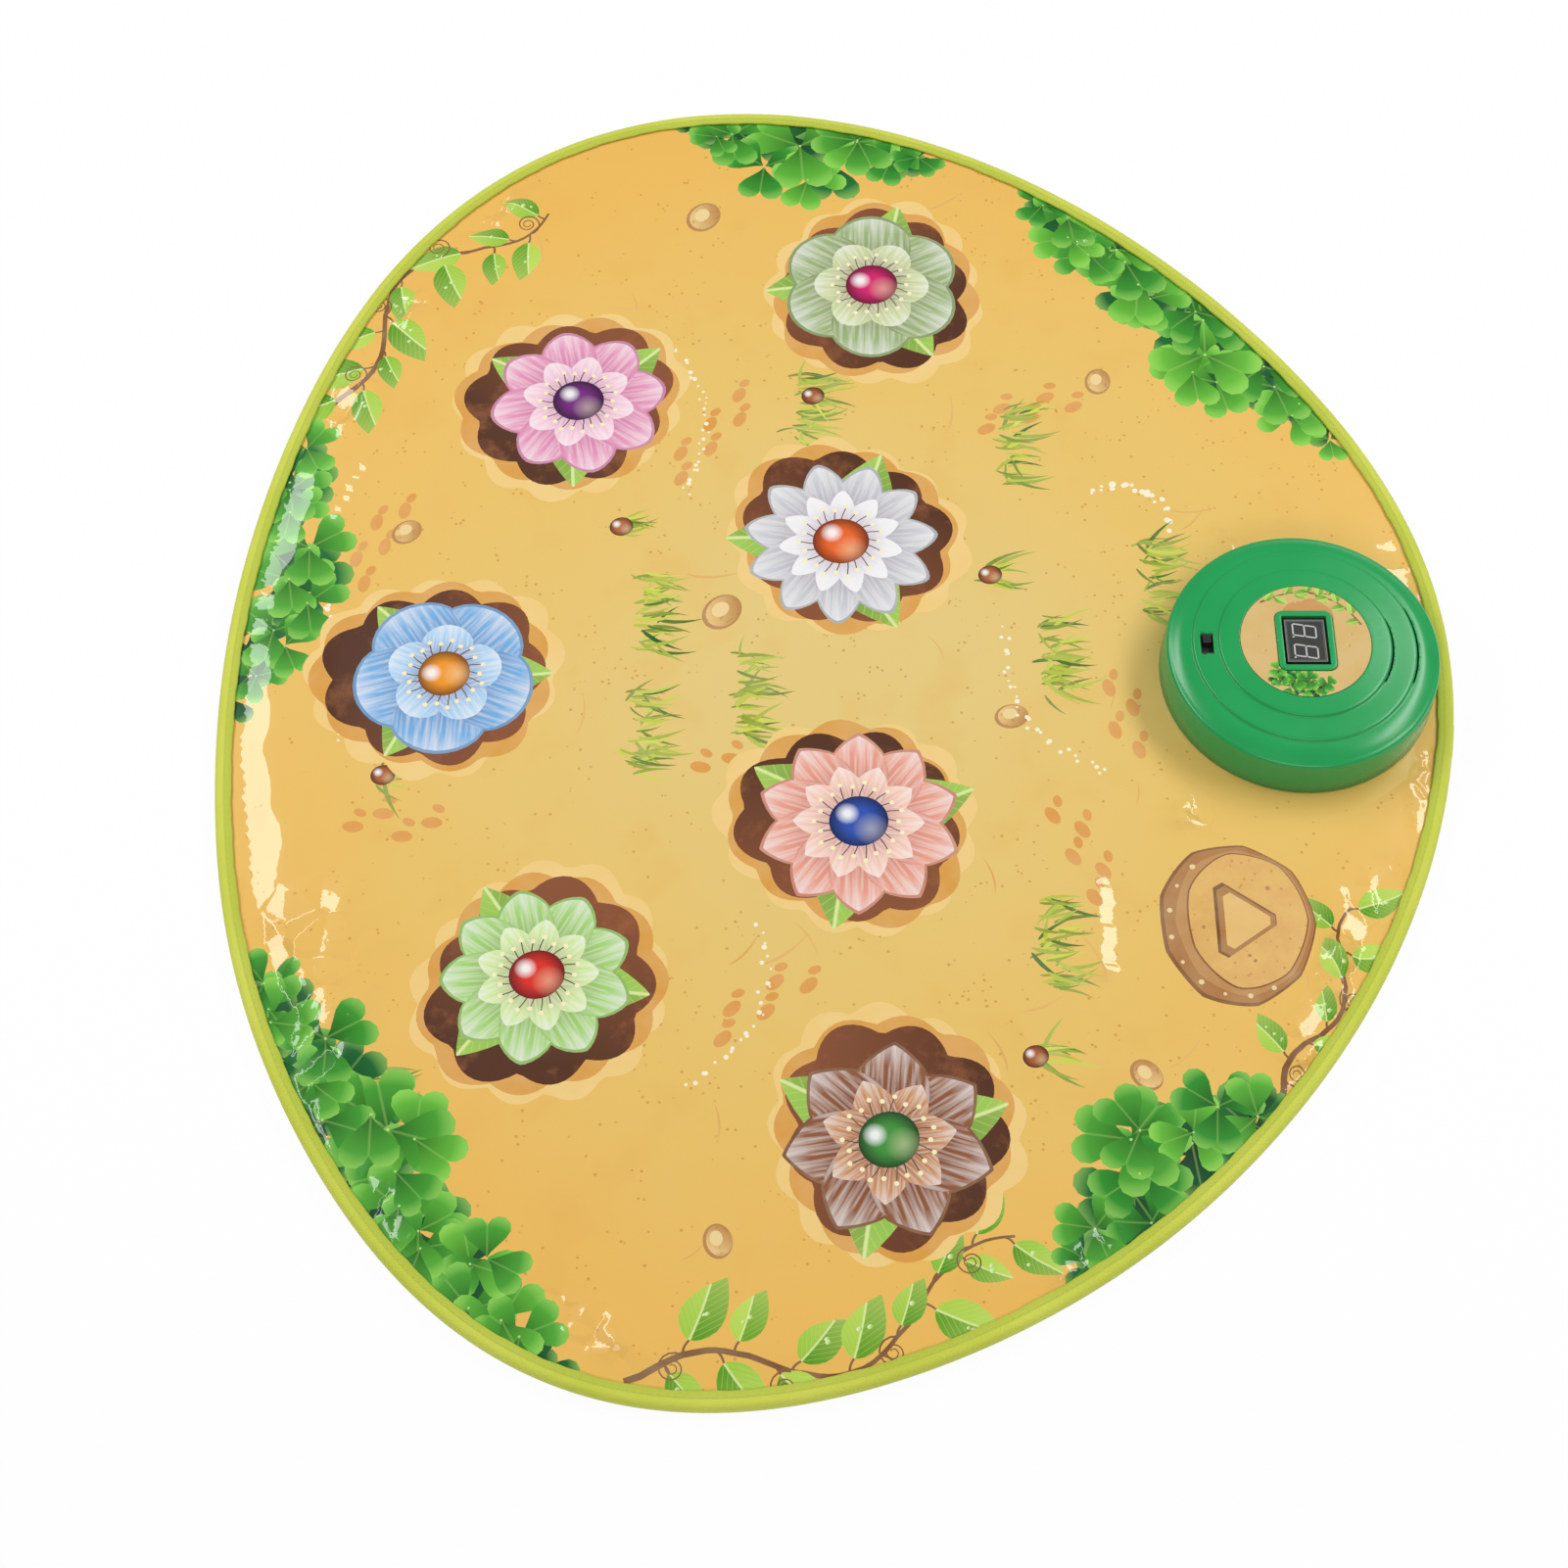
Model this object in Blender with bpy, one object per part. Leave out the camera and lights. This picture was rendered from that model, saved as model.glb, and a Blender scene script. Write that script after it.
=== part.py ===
"""A pounding game mat: a padded play mat with press targets, and a round score unit at its edge.

The mat lies on the floor. X points to the score unit, Y across the mat, Z up, and the origin is the
middle of the footprint on the floor. All sizes are in metres.
"""

import math

import bmesh
import bpy
from mathutils import Vector

# Fit
TOUCH_GAP = 0.0003
OVERRUN = 0.002
WELD = 0.000002

# Mat outline: a rounded, blunt egg, nearly the same on both sides of X
MAT_LENGTH = 0.800
MAT_WIDTH = 0.657
OUTLINE_COSINE_SHARES = (0, -0.1133, 0.0403, 0.0134, -0.0116, 0.0003, 0.0018, -0.0017)
OUTLINE_SINE_SHARES = (0.1652, 0.0161, -0.0151, 0.0093, 0.0050)
OUTLINE_POINTS = 76

# Mat layers, from the floor up
BINDING_TAPE = 0.0015
BINDING_WIDTH = 0.0090
BINDING_ROUND = 0.0034
BACKING_THICKNESS = 0.0008
FILM_THICKNESS = 0.0002
FOAM_THICKNESS = 0.0020
TOP_SHEET_THICKNESS = 0.0005

# Press targets
TARGET_RADIUS = 0.052
SELECT_RADIUS = 0.038
TARGET_CROWN = 0.0012
TARGET_GAP = 0.0003
CONTACT_SHARE = 0.6
TARGET_STEPS = 28
HOLE_STEPS = 16
TARGET_PLACE_SHARES = (
    (-0.327, 0.0),
    (-0.228, 0.2275),
    (-0.228, -0.2275),
    (0.038, 0.3275),
    (0.038, -0.3275),
    (0.008, 0.1125),
    (0.008, -0.1125),
)
SELECT_PLACE_SHARES = (0.307, -0.1875)

# Score unit, top shell
UNIT_BINDING_GAP = 0.0019
UNIT_WALL_HEIGHT = 0.0230
WALL_DRAFT = 0.0009
RIM_FILLET = 0.0013
SHOULDER_RISE = 0.0055
SHOULDER_WIDTH = 0.0144
OUTER_LAND_WIDTH = 0.0133
INNER_LAND_WIDTH = 0.0110
LABEL_RADIUS = 0.0342
STEP_RISE = 0.0016
STEP_FILLET = 0.0004
LAND_FALL = 0.0007
SHELL_WALL = 0.0022
LABEL_THICKNESS = 0.0003
LABEL_RECESS = 0.0006
UNIT_STEPS = 48
SHOULDER_STEPS = 4

# Score display and its bezel
WINDOW_MARGIN_X = 0.00105
WINDOW_MARGIN_Y = 0.00175
WINDOW_CORNER = 0.0006
BEZEL_RIM = 0.0034
BEZEL_CORNER = 0.0045
BEZEL_RISE = 0.0010
DISPLAY_X = 0.0214
DISPLAY_Y = 0.0265
DISPLAY_HEIGHT = 0.0080
DISPLAY_SET_BACK = 0.0009
GASKET_HEIGHT = 0.0040
GASKET_SET_BACK = 0.0018
CORNER_STEPS = 3

# Sound slots beside the two steps
SLOT_WIDTH = 0.0013
INNER_SLOT_HALF_ANGLE = math.radians(35)
OUTER_SLOT_HALF_ANGLE = math.radians(28)
SLOT_STEPS = 7

# Power switch
SWITCH_LAND_SHARE = 0.46
SWITCH_SLOT_X = 0.0064
SWITCH_SLOT_Y = 0.0114
KNOB_X = 0.0044
KNOB_Y = 0.0052
KNOB_PROUD = 0.0008
KNOB_RIDGE = 0.0004
KNOB_RIDGES = 3
KNOB_SKIRT_HEIGHT = 0.0006
KNOB_SKIRT_SIDE = 0.0006
SWITCH_BODY_X = 0.0070
SWITCH_BODY_Y = 0.0130

# Circuit board
BOARD_THICKNESS = 0.0016
BOARD_INNER_END = 0.0160
BOARD_SWITCH_MARGIN = 0.0007
BOARD_HALF_WIDTH = 0.0240
BOARD_CORNER = 0.0060
STAKE_RADIUS = 0.0014
STAKE_COLLAR_RADIUS = 0.0026
STAKE_INSET = 0.0045
STAKE_PROUD = 0.0009
STAKE_FROM_SWITCH = 0.0200
CHIP_RADIUS = 0.0055
CHIP_HEIGHT = 0.0016

# Speaker
SPEAKER_BOARD_GAP = 0.0030
SPEAKER_WALL_GAP = 0.0013
SPEAKER_FLANGE = 0.0012
SPEAKER_FLANGE_WIDTH = 0.0022
SPEAKER_DEPTH = 0.0072
SPEAKER_BASE_RADIUS = 0.0090
SPEAKER_SHEET = 0.0009
CONE_SHEET = 0.0006
CONE_DEPTH = 0.0045
MAGNET_RADIUS = 0.0085
MAGNET_HEIGHT = 0.0060
CLAMP_THICKNESS = 0.0015
CLAMP_WIDTH = 0.0036
CLAMP_EAR_RADIUS = 0.0040
CLAMP_EAR_OFFSET = 0.0050
SPEAKER_STEPS = 24

# Base shell
FLANGE_OVERLAP = 0.0025
BASE_FLOOR = 0.0028
BASE_WALL_INSET = 0.0111
BASE_WALL = 0.0022
BASE_WALL_TOP = 0.0180
MAT_HOLE_CLEARANCE = 0.0047
BASE_STEPS = 36

# Case screws
BOSS_WALL_GAP = 0.0010
CASE_SCREW_ANGLE = math.radians(60)
BOSS_RADIUS = 0.0046
BOSS_TOP = 0.0195
POST_RADIUS = 0.0040
SCREW_SHAFT = 0.0013
SCREW_HEAD = 0.0028
SCREW_HEAD_HEIGHT = 0.0020
SCREW_PLAY = 0.0003
HEAD_RECESS = 0.0080
CASE_SCREW_LENGTH = 0.0190
SCREW_STEPS = 10

# Battery bay and door
CELL_RADIUS = 0.00725
CELL_BODY = 0.0495
CELL_NUB_RADIUS = 0.0027
CELL_NUB = 0.0010
CELL_COUNT = 3
CELL_GAP = 0.0005
BAY_WALL = 0.0016
BAY_HEADROOM = 0.0008
BAY_END_MARGIN = 0.0005
SPRING_LENGTH = 0.0046
SPRING_WIRE = 0.0004
SPRING_WIDE = 0.0045
SPRING_NARROW = 0.0031
SPRING_TURNS = 2.5
SPRING_TURN_POINTS = 9
PLATE_THICKNESS = 0.0004
PLATE_SIDE = 0.0090
TAB_SIDE = 0.0030
TAB_PROUD = 0.0030
DOOR_THICKNESS = 0.0024
DOOR_TONGUE = 0.0090
DOOR_TONGUE_HALF = 0.0050
DOOR_BOSS_ROOF = 0.0010
DOOR_BOSS_SIDE = 0.0015
DOOR_SCREW_LENGTH = 0.0090
DOOR_HEAD_HEIGHT = 0.0011
DOOR_HEAD_SINK = 0.0014

# Circuit tail from the mat to the board
TAIL_THICKNESS = 0.00025
TAIL_HALF_WIDTH = 0.0080
TAIL_RISER_INSET = 0.0016
TAIL_BEND = 0.0050
TAIL_FOOT_BEND = 0.0008
TAIL_UNDER_BOARD = 0.0105
TAIL_BEND_STEPS = 4
CLAMP_BAR_X = 0.0060
CLAMP_BAR_HEIGHT = 0.0020
CLAMP_BAR_EXTRA = 0.0055
CLAMP_BAR_INSET = 0.0030
TAIL_SCREW_SHAFT = 0.0009
TAIL_SCREW_HEAD = 0.0019
TAIL_SCREW_HEAD_HEIGHT = 0.0012
TAIL_SCREW_PROUD = 0.0008

# Leads
LEAD_RADIUS = 0.0006
LEAD_PITCH = 0.0040
LEAD_SWAY = 0.0040
LEAD_POINTS = 9

# Heights and places that follow from the sizes above
LAYER_BASE = BINDING_TAPE + TOUCH_GAP
LOWER_FILM_BASE = LAYER_BASE + BACKING_THICKNESS + TOUCH_GAP
FOAM_BASE = LOWER_FILM_BASE + FILM_THICKNESS + TOUCH_GAP
UPPER_FILM_BASE = FOAM_BASE + FOAM_THICKNESS + TOUCH_GAP
TOP_SHEET_BASE = UPPER_FILM_BASE + FILM_THICKNESS + TOUCH_GAP
MAT_TOP = TOP_SHEET_BASE + TOP_SHEET_THICKNESS
BINDING_HEIGHT = MAT_TOP + TOUCH_GAP + BINDING_TAPE
SHEET_INSET = BINDING_TAPE + TOUCH_GAP

INNER_STEP_RADIUS = LABEL_RADIUS + INNER_LAND_WIDTH
OUTER_STEP_RADIUS = INNER_STEP_RADIUS + OUTER_LAND_WIDTH
UNIT_RADIUS = OUTER_STEP_RADIUS + SHOULDER_WIDTH
UNIT_X = MAT_WIDTH / 2 - BINDING_WIDTH - UNIT_BINDING_GAP - UNIT_RADIUS
BASE_WALL_RADIUS = UNIT_RADIUS - BASE_WALL_INSET
MAT_HOLE_RADIUS = BASE_WALL_RADIUS + MAT_HOLE_CLEARANCE
FLANGE_RADIUS = MAT_HOLE_RADIUS + FLANGE_OVERLAP
FLANGE_TOP = LAYER_BASE - TOUCH_GAP
CASE_SCREW_RADIUS_PLACE = BASE_WALL_RADIUS - BASE_WALL - BOSS_WALL_GAP - BOSS_RADIUS
SHELL_FOOT = MAT_TOP + TOUCH_GAP
SHOULDER_TOP = SHELL_FOOT + UNIT_WALL_HEIGHT + SHOULDER_RISE
OUTER_LAND = SHOULDER_TOP + STEP_RISE
INNER_LAND = OUTER_LAND + LAND_FALL + STEP_RISE
LABEL_RIM = INNER_LAND + LAND_FALL
LABEL_FLOOR = LABEL_RIM - LABEL_RECESS
BEZEL_TOP = LABEL_RIM + BEZEL_RISE
OUTER_ROOF = OUTER_LAND + LAND_FALL - SHELL_WALL
INNER_ROOF = LABEL_FLOOR - SHELL_WALL

WINDOW_X = DISPLAY_X + 2 * WINDOW_MARGIN_X
WINDOW_Y = DISPLAY_Y + 2 * WINDOW_MARGIN_Y
DISPLAY_TOP = BEZEL_TOP - DISPLAY_SET_BACK
BOARD_TOP = DISPLAY_TOP - DISPLAY_HEIGHT - TOUCH_GAP
BOARD_BASE = BOARD_TOP - BOARD_THICKNESS
SWITCH_RADIUS_PLACE = INNER_STEP_RADIUS + OUTER_LAND_WIDTH * SWITCH_LAND_SHARE
KNOB_SKIRT_TOP = OUTER_ROOF - TOUCH_GAP
SPEAKER_TOP = OUTER_ROOF - TOUCH_GAP
SPEAKER_INNER_END = BOARD_INNER_END + SPEAKER_BOARD_GAP
SPEAKER_OUTER_END = OUTER_STEP_RADIUS - SHELL_WALL - SPEAKER_WALL_GAP
SPEAKER_PLACE = (SPEAKER_INNER_END + SPEAKER_OUTER_END) / 2
SPEAKER_RADIUS = (SPEAKER_OUTER_END - SPEAKER_INNER_END) / 2
CELL_BASE = TOUCH_GAP + DOOR_THICKNESS + TOUCH_GAP
BAY_TOP = CELL_BASE + 2 * CELL_RADIUS + BAY_HEADROOM
BAY_HALF_X = CELL_COUNT * CELL_RADIUS + (CELL_COUNT + 1) * CELL_GAP / 2
CELL_LENGTH = CELL_BODY + CELL_NUB
BAY_HALF_Y = (CELL_LENGTH + SPRING_LENGTH + 2 * (PLATE_THICKNESS + 2 * TOUCH_GAP)) / 2
BAY_X = -BAY_HALF_X + BAY_END_MARGIN
DOOR_SCREW_SEAT = TOUCH_GAP + DOOR_HEAD_SINK
DOOR_BOSS_TOP = DOOR_SCREW_SEAT + DOOR_SCREW_LENGTH + TOUCH_GAP + DOOR_BOSS_ROOF


def clear_scene():
    for obj in list(bpy.data.objects):
        bpy.data.objects.remove(obj)


def material(name, colour, roughness, metallic=0.0):
    """A plain Principled finish."""
    look = bpy.data.materials.new(name)
    look.use_nodes = True
    shader = look.node_tree.nodes["Principled BSDF"]
    shader.inputs["Base Color"].default_value = (*colour, 1.0)
    shader.inputs["Roughness"].default_value = roughness
    shader.inputs["Metallic"].default_value = metallic
    look.diffuse_color = (*colour, 1.0)
    return look


def place(name, data, look, at=(0, 0, 0), parent=None):
    """A new object with its own finish."""
    obj = bpy.data.objects.new(name, data)
    bpy.context.scene.collection.objects.link(obj)
    obj.location = at
    obj.parent = parent
    if look is not None:
        data.materials.append(look)
    return obj


def mesh_from(name, bm, smooth=True):
    """Closes a bmesh into a mesh with its faces pointing out."""
    bmesh.ops.remove_doubles(bm, verts=bm.verts, dist=WELD)
    bmesh.ops.recalc_face_normals(bm, faces=bm.faces)
    mesh = bpy.data.meshes.new(name)
    bm.to_mesh(mesh)
    bm.free()
    if smooth:
        mesh.shade_smooth()
        mesh.set_sharp_from_angle(angle=math.radians(32))
    return mesh


def turned_mesh(name, profile, steps, closed):
    """A profile of (radius, height) points spun about Z. An open profile starts and ends on the axis."""
    bm = bmesh.new()
    verts = [bm.verts.new((radius, 0, height)) for radius, height in profile]
    pairs = list(zip(verts, verts[1:]))
    if closed:
        pairs.append((verts[-1], verts[0]))
    edges = [bm.edges.new(pair) for pair in pairs]
    bmesh.ops.spin(
        bm, geom=verts + edges, cent=(0, 0, 0), axis=(0, 0, 1), angle=2 * math.pi, steps=steps
    )
    return mesh_from(name, bm)


def turned(name, profile, look, steps, at=(0, 0, 0), parent=None, closed=False):
    return place(name, turned_mesh(name, profile, steps, closed), look, at, parent)


def disc_profile(radius, base, top):
    return [(0, base), (radius, base), (radius, top), (0, top)]


def ring_profile(inner, outer, base, top):
    return [(inner, base), (outer, base), (outer, top), (inner, top)]


def plate(name, outlines, base, thickness, look, parent=None):
    """A flat sheet: the first outline is its edge, and the others are holes in it."""
    curve = bpy.data.curves.new(name, "CURVE")
    curve.dimensions = "2D"
    curve.fill_mode = "BOTH"
    curve.extrude = thickness / 2
    for outline in outlines:
        spline = curve.splines.new("POLY")
        spline.points.add(len(outline) - 1)
        spline.use_cyclic_u = True
        for point, (x, y) in zip(spline.points, outline):
            point.co = (x, y, 0, 1)
    return place(name, curve, look, (0, 0, base + thickness / 2), parent)


def prism(name, outline, look, low, high, axis="Z", at=(0, 0, 0), parent=None):
    """An outline of two coordinates pushed out along the third axis, from low to high."""
    bm = bmesh.new()
    if axis == "Z":
        verts = [bm.verts.new((a, b, low)) for a, b in outline]
        step = Vector((0, 0, high - low))
    else:
        verts = [bm.verts.new((a, low, b)) for a, b in outline]
        step = Vector((0, high - low, 0))
    face = bm.faces.new(verts)
    made = bmesh.ops.extrude_face_region(bm, geom=[face])
    moved = [item for item in made["geom"] if isinstance(item, bmesh.types.BMVert)]
    bmesh.ops.translate(bm, verts=moved, vec=step)
    return place(name, mesh_from(name, bm, smooth=False), look, at, parent)


def rectangle(half_x, half_y, x=0, y=0):
    return [
        (x - half_x, y - half_y),
        (x + half_x, y - half_y),
        (x + half_x, y + half_y),
        (x - half_x, y + half_y),
    ]


def rounded_rectangle(half_x, half_y, corner, x=0, y=0):
    """Corner arcs joined by straight sides, anticlockwise."""
    points = []
    for quarter, (sx, sy) in enumerate(((1, 1), (-1, 1), (-1, -1), (1, -1))):
        for step in range(CORNER_STEPS + 1):
            angle = (quarter + step / CORNER_STEPS) * math.pi / 2
            points.append(
                (
                    x + sx * (half_x - corner) + corner * math.cos(angle),
                    y + sy * (half_y - corner) + corner * math.sin(angle),
                )
            )
    return points


def circle(radius, steps, x=0, y=0):
    turns = [2 * math.pi * step / steps for step in range(steps)]
    return [(x + radius * math.cos(turn), y + radius * math.sin(turn)) for turn in turns]


def helper(obj):
    """Marks a cutter or a joined shape, which isn't a piece of its own."""
    obj.hide_render = True
    obj.display_type = "WIRE"
    return obj


def boolean(target, tool, operation):
    modifier = target.modifiers.new(tool.name, "BOOLEAN")
    modifier.operation = operation
    modifier.object = helper(tool)


def cut(target, tool):
    boolean(target, tool, "DIFFERENCE")


def join(target, tool):
    boolean(target, tool, "UNION")


def outline(inset=0):
    """The mat's edge, moved inwards by inset: radius follows a few soft lobes round the egg."""
    shape = []
    for step in range(OUTLINE_POINTS):
        angle = 2 * math.pi * step / OUTLINE_POINTS
        radius = 1
        for n, share in enumerate(OUTLINE_COSINE_SHARES, start=1):
            radius += share * math.cos(n * angle)
        for n, share in enumerate(OUTLINE_SINE_SHARES, start=1):
            radius += share * math.sin(n * angle)
        shape.append((radius * math.cos(angle), radius * math.sin(angle)))
    low_x, high_x = min(x for x, y in shape), max(x for x, y in shape)
    low_y, high_y = min(y for x, y in shape), max(y for x, y in shape)
    edge = [
        (
            MAT_WIDTH * ((x - low_x) / (high_x - low_x) - 1 / 2),
            MAT_LENGTH * ((y - low_y) / (high_y - low_y) - 1 / 2),
        )
        for x, y in shape
    ]
    moved = []
    for index, (x, y) in enumerate(edge):
        before, after = edge[index - 1], edge[(index + 1) % len(edge)]
        along = Vector((after[0] - before[0], after[1] - before[1])).normalized()
        moved.append((x - along.y * inset, y + along.x * inset))
    return moved


def target_places():
    return [(x * MAT_WIDTH, y * MAT_LENGTH) for x, y in TARGET_PLACE_SHARES]


def select_place():
    return SELECT_PLACE_SHARES[0] * MAT_WIDTH, SELECT_PLACE_SHARES[1] * MAT_LENGTH


def press_zones():
    """Name, centre and radius of each press target."""
    zones = [
        (f"target_{number}", centre, TARGET_RADIUS)
        for number, centre in enumerate(target_places(), start=1)
    ]
    return zones + [("select", select_place(), SELECT_RADIUS)]


def build_binding(look):
    """The folded tape round the edge: a C section carried along the outline."""
    half_round = BINDING_ROUND * (1 - math.sqrt(1 / 2))
    section = [
        (BINDING_WIDTH, 0),
        (BINDING_ROUND, 0),
        (half_round, half_round),
        (0, BINDING_ROUND),
        (0, BINDING_HEIGHT - BINDING_ROUND),
        (half_round, BINDING_HEIGHT - half_round),
        (BINDING_ROUND, BINDING_HEIGHT),
        (BINDING_WIDTH, BINDING_HEIGHT),
        (BINDING_WIDTH, BINDING_HEIGHT - BINDING_TAPE),
        (BINDING_TAPE, BINDING_HEIGHT - BINDING_TAPE),
        (BINDING_TAPE, BINDING_TAPE),
        (BINDING_WIDTH, BINDING_TAPE),
    ]
    bm = bmesh.new()
    lines = [[bm.verts.new((x, y, z)) for x, y in outline(inset)] for inset, z in section]
    for index, line in enumerate(lines):
        other = lines[(index + 1) % len(lines)]
        for step in range(OUTLINE_POINTS):
            after = (step + 1) % OUTLINE_POINTS
            bm.faces.new((line[step], line[after], other[after], other[step]))
    place("edge_binding", mesh_from("edge_binding", bm), look)


def build_layers(looks):
    """Backing, two circuit films with the foam between them, and the printed top sheet."""
    edge = outline(SHEET_INSET)
    unit_hole = circle(MAT_HOLE_RADIUS, BASE_STEPS, UNIT_X, 0)
    top_holes = [
        circle(radius + TARGET_GAP, TARGET_STEPS, *centre) for name, centre, radius in press_zones()
    ]
    hidden_holes = [
        circle(radius + 2 * TARGET_GAP + OVERRUN, HOLE_STEPS, *centre)
        for name, centre, radius in press_zones()
    ]
    plate("backing_sheet", [edge, unit_hole], LAYER_BASE, BACKING_THICKNESS, looks["backing"])
    plate("lower_circuit_film", [edge, unit_hole], LOWER_FILM_BASE, FILM_THICKNESS, looks["film"])
    plate("foam_spacer", [edge, unit_hole, *hidden_holes], FOAM_BASE, FOAM_THICKNESS, looks["foam"])
    plate(
        "upper_circuit_film",
        [edge, unit_hole, *hidden_holes],
        UPPER_FILM_BASE,
        FILM_THICKNESS,
        looks["film"],
    )
    plate(
        "top_sheet",
        [edge, unit_hole, *top_holes],
        TOP_SHEET_BASE,
        TOP_SHEET_THICKNESS,
        looks["print"],
    )


def build_targets(looks):
    """Each target's crowned face, and the contact patch that it presses down on the lower film."""
    for name, (x, y), radius in press_zones():
        waist = TARGET_CROWN * (1 - 1 / 4) ** 2
        face = [
            (0, TARGET_CROWN),
            (radius / 2, waist),
            (radius, 0),
            (radius, TOP_SHEET_THICKNESS),
            (radius / 2, waist + TOP_SHEET_THICKNESS),
            (0, TARGET_CROWN + TOP_SHEET_THICKNESS),
        ]
        look = looks["print" if name != "select" else "stone"]
        turned(f"{name}_face", face, look, TARGET_STEPS, (x, y, TOP_SHEET_BASE))
        patch = disc_profile(radius * CONTACT_SHARE, 0, FILM_THICKNESS)
        turned(f"{name}_contact", patch, looks["carbon"], HOLE_STEPS, (x, y, UPPER_FILM_BASE))


def shell_profile():
    """Closed section of the top shell: up the outside, in over the steps, and back inside."""
    rim = UNIT_RADIUS - WALL_DRAFT
    wall_top = SHELL_FOOT + UNIT_WALL_HEIGHT
    shoulder_foot = OUTER_STEP_RADIUS + STEP_FILLET
    outside = [(UNIT_RADIUS, SHELL_FOOT), (rim, wall_top)]
    for step in range(SHOULDER_STEPS + 1):
        along = step / SHOULDER_STEPS
        outside.append(
            (
                rim - RIM_FILLET + (shoulder_foot - rim + RIM_FILLET) * along,
                wall_top + RIM_FILLET
                + (SHOULDER_RISE - RIM_FILLET) * math.sin(along * math.pi / 2),
            )
        )
    outside += [
        (OUTER_STEP_RADIUS, OUTER_LAND - STEP_FILLET),
        (OUTER_STEP_RADIUS - STEP_FILLET, OUTER_LAND),
        (INNER_STEP_RADIUS + STEP_FILLET, OUTER_LAND + LAND_FALL),
        (INNER_STEP_RADIUS, INNER_LAND - STEP_FILLET),
        (INNER_STEP_RADIUS - STEP_FILLET, INNER_LAND),
        (LABEL_RADIUS + TOUCH_GAP, LABEL_RIM),
        (LABEL_RADIUS + TOUCH_GAP, LABEL_FLOOR),
        (0, LABEL_FLOOR),
    ]
    inside = [
        (0, INNER_ROOF),
        (INNER_STEP_RADIUS - SHELL_WALL, INNER_ROOF),
        (INNER_STEP_RADIUS - SHELL_WALL, OUTER_ROOF),
        (OUTER_STEP_RADIUS - SHELL_WALL, OUTER_ROOF),
        (rim - SHELL_WALL, wall_top - SHELL_WALL / 2),
        (UNIT_RADIUS - SHELL_WALL, SHELL_FOOT),
    ]
    return outside, inside


def case_screw_places():
    angles = [CASE_SCREW_ANGLE, math.pi - CASE_SCREW_ANGLE]
    angles += [-angle for angle in angles]
    return [
        (CASE_SCREW_RADIUS_PLACE * math.cos(a), CASE_SCREW_RADIUS_PLACE * math.sin(a))
        for a in angles
    ]


def board_stakes():
    """Where the board's holes sit on the shell's pins."""
    x = BOARD_INNER_END - STAKE_INSET
    y = BOARD_HALF_WIDTH - STAKE_INSET
    far_x = STAKE_FROM_SWITCH - SWITCH_RADIUS_PLACE
    return [(x, y), (x, -y), (far_x, y), (far_x, -y)]


def speaker_stakes():
    reach = SPEAKER_RADIUS + CLAMP_EAR_OFFSET
    return [(SPEAKER_PLACE, reach), (SPEAKER_PLACE, -reach)]


def roof_over(at, radius):
    """Height of the lowest part of the roof's underside over a round post at that place."""
    outermost = math.hypot(*at) + radius
    return OUTER_ROOF if outermost > INNER_STEP_RADIUS - SHELL_WALL else INNER_ROOF


def stepped_profile(low, low_radius, step, high_radius, high):
    """A round post with one step in it, or a cutter of that shape."""
    lower = [(0, low), (low_radius, low), (low_radius, step)]
    return lower + [(high_radius, step), (high_radius, high), (0, high)]


def cylinder(name, radius, low, high, at, parent, steps=SCREW_STEPS, look=None):
    return turned(name, disc_profile(radius, low, high), look, steps, (*at, 0), parent)


def slot_sector(name, radius, half_angle, low, high, parent):
    """A thin curved bar that cuts one sound slot."""
    points = []
    for edge, order in ((radius, 1), (radius + SLOT_WIDTH, -1)):
        for step in range(SLOT_STEPS + 1):
            angle = order * half_angle * (2 * step / SLOT_STEPS - 1)
            points.append((edge * math.cos(angle), edge * math.sin(angle)))
    return prism(name, points, None, low, high, parent=parent)


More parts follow.
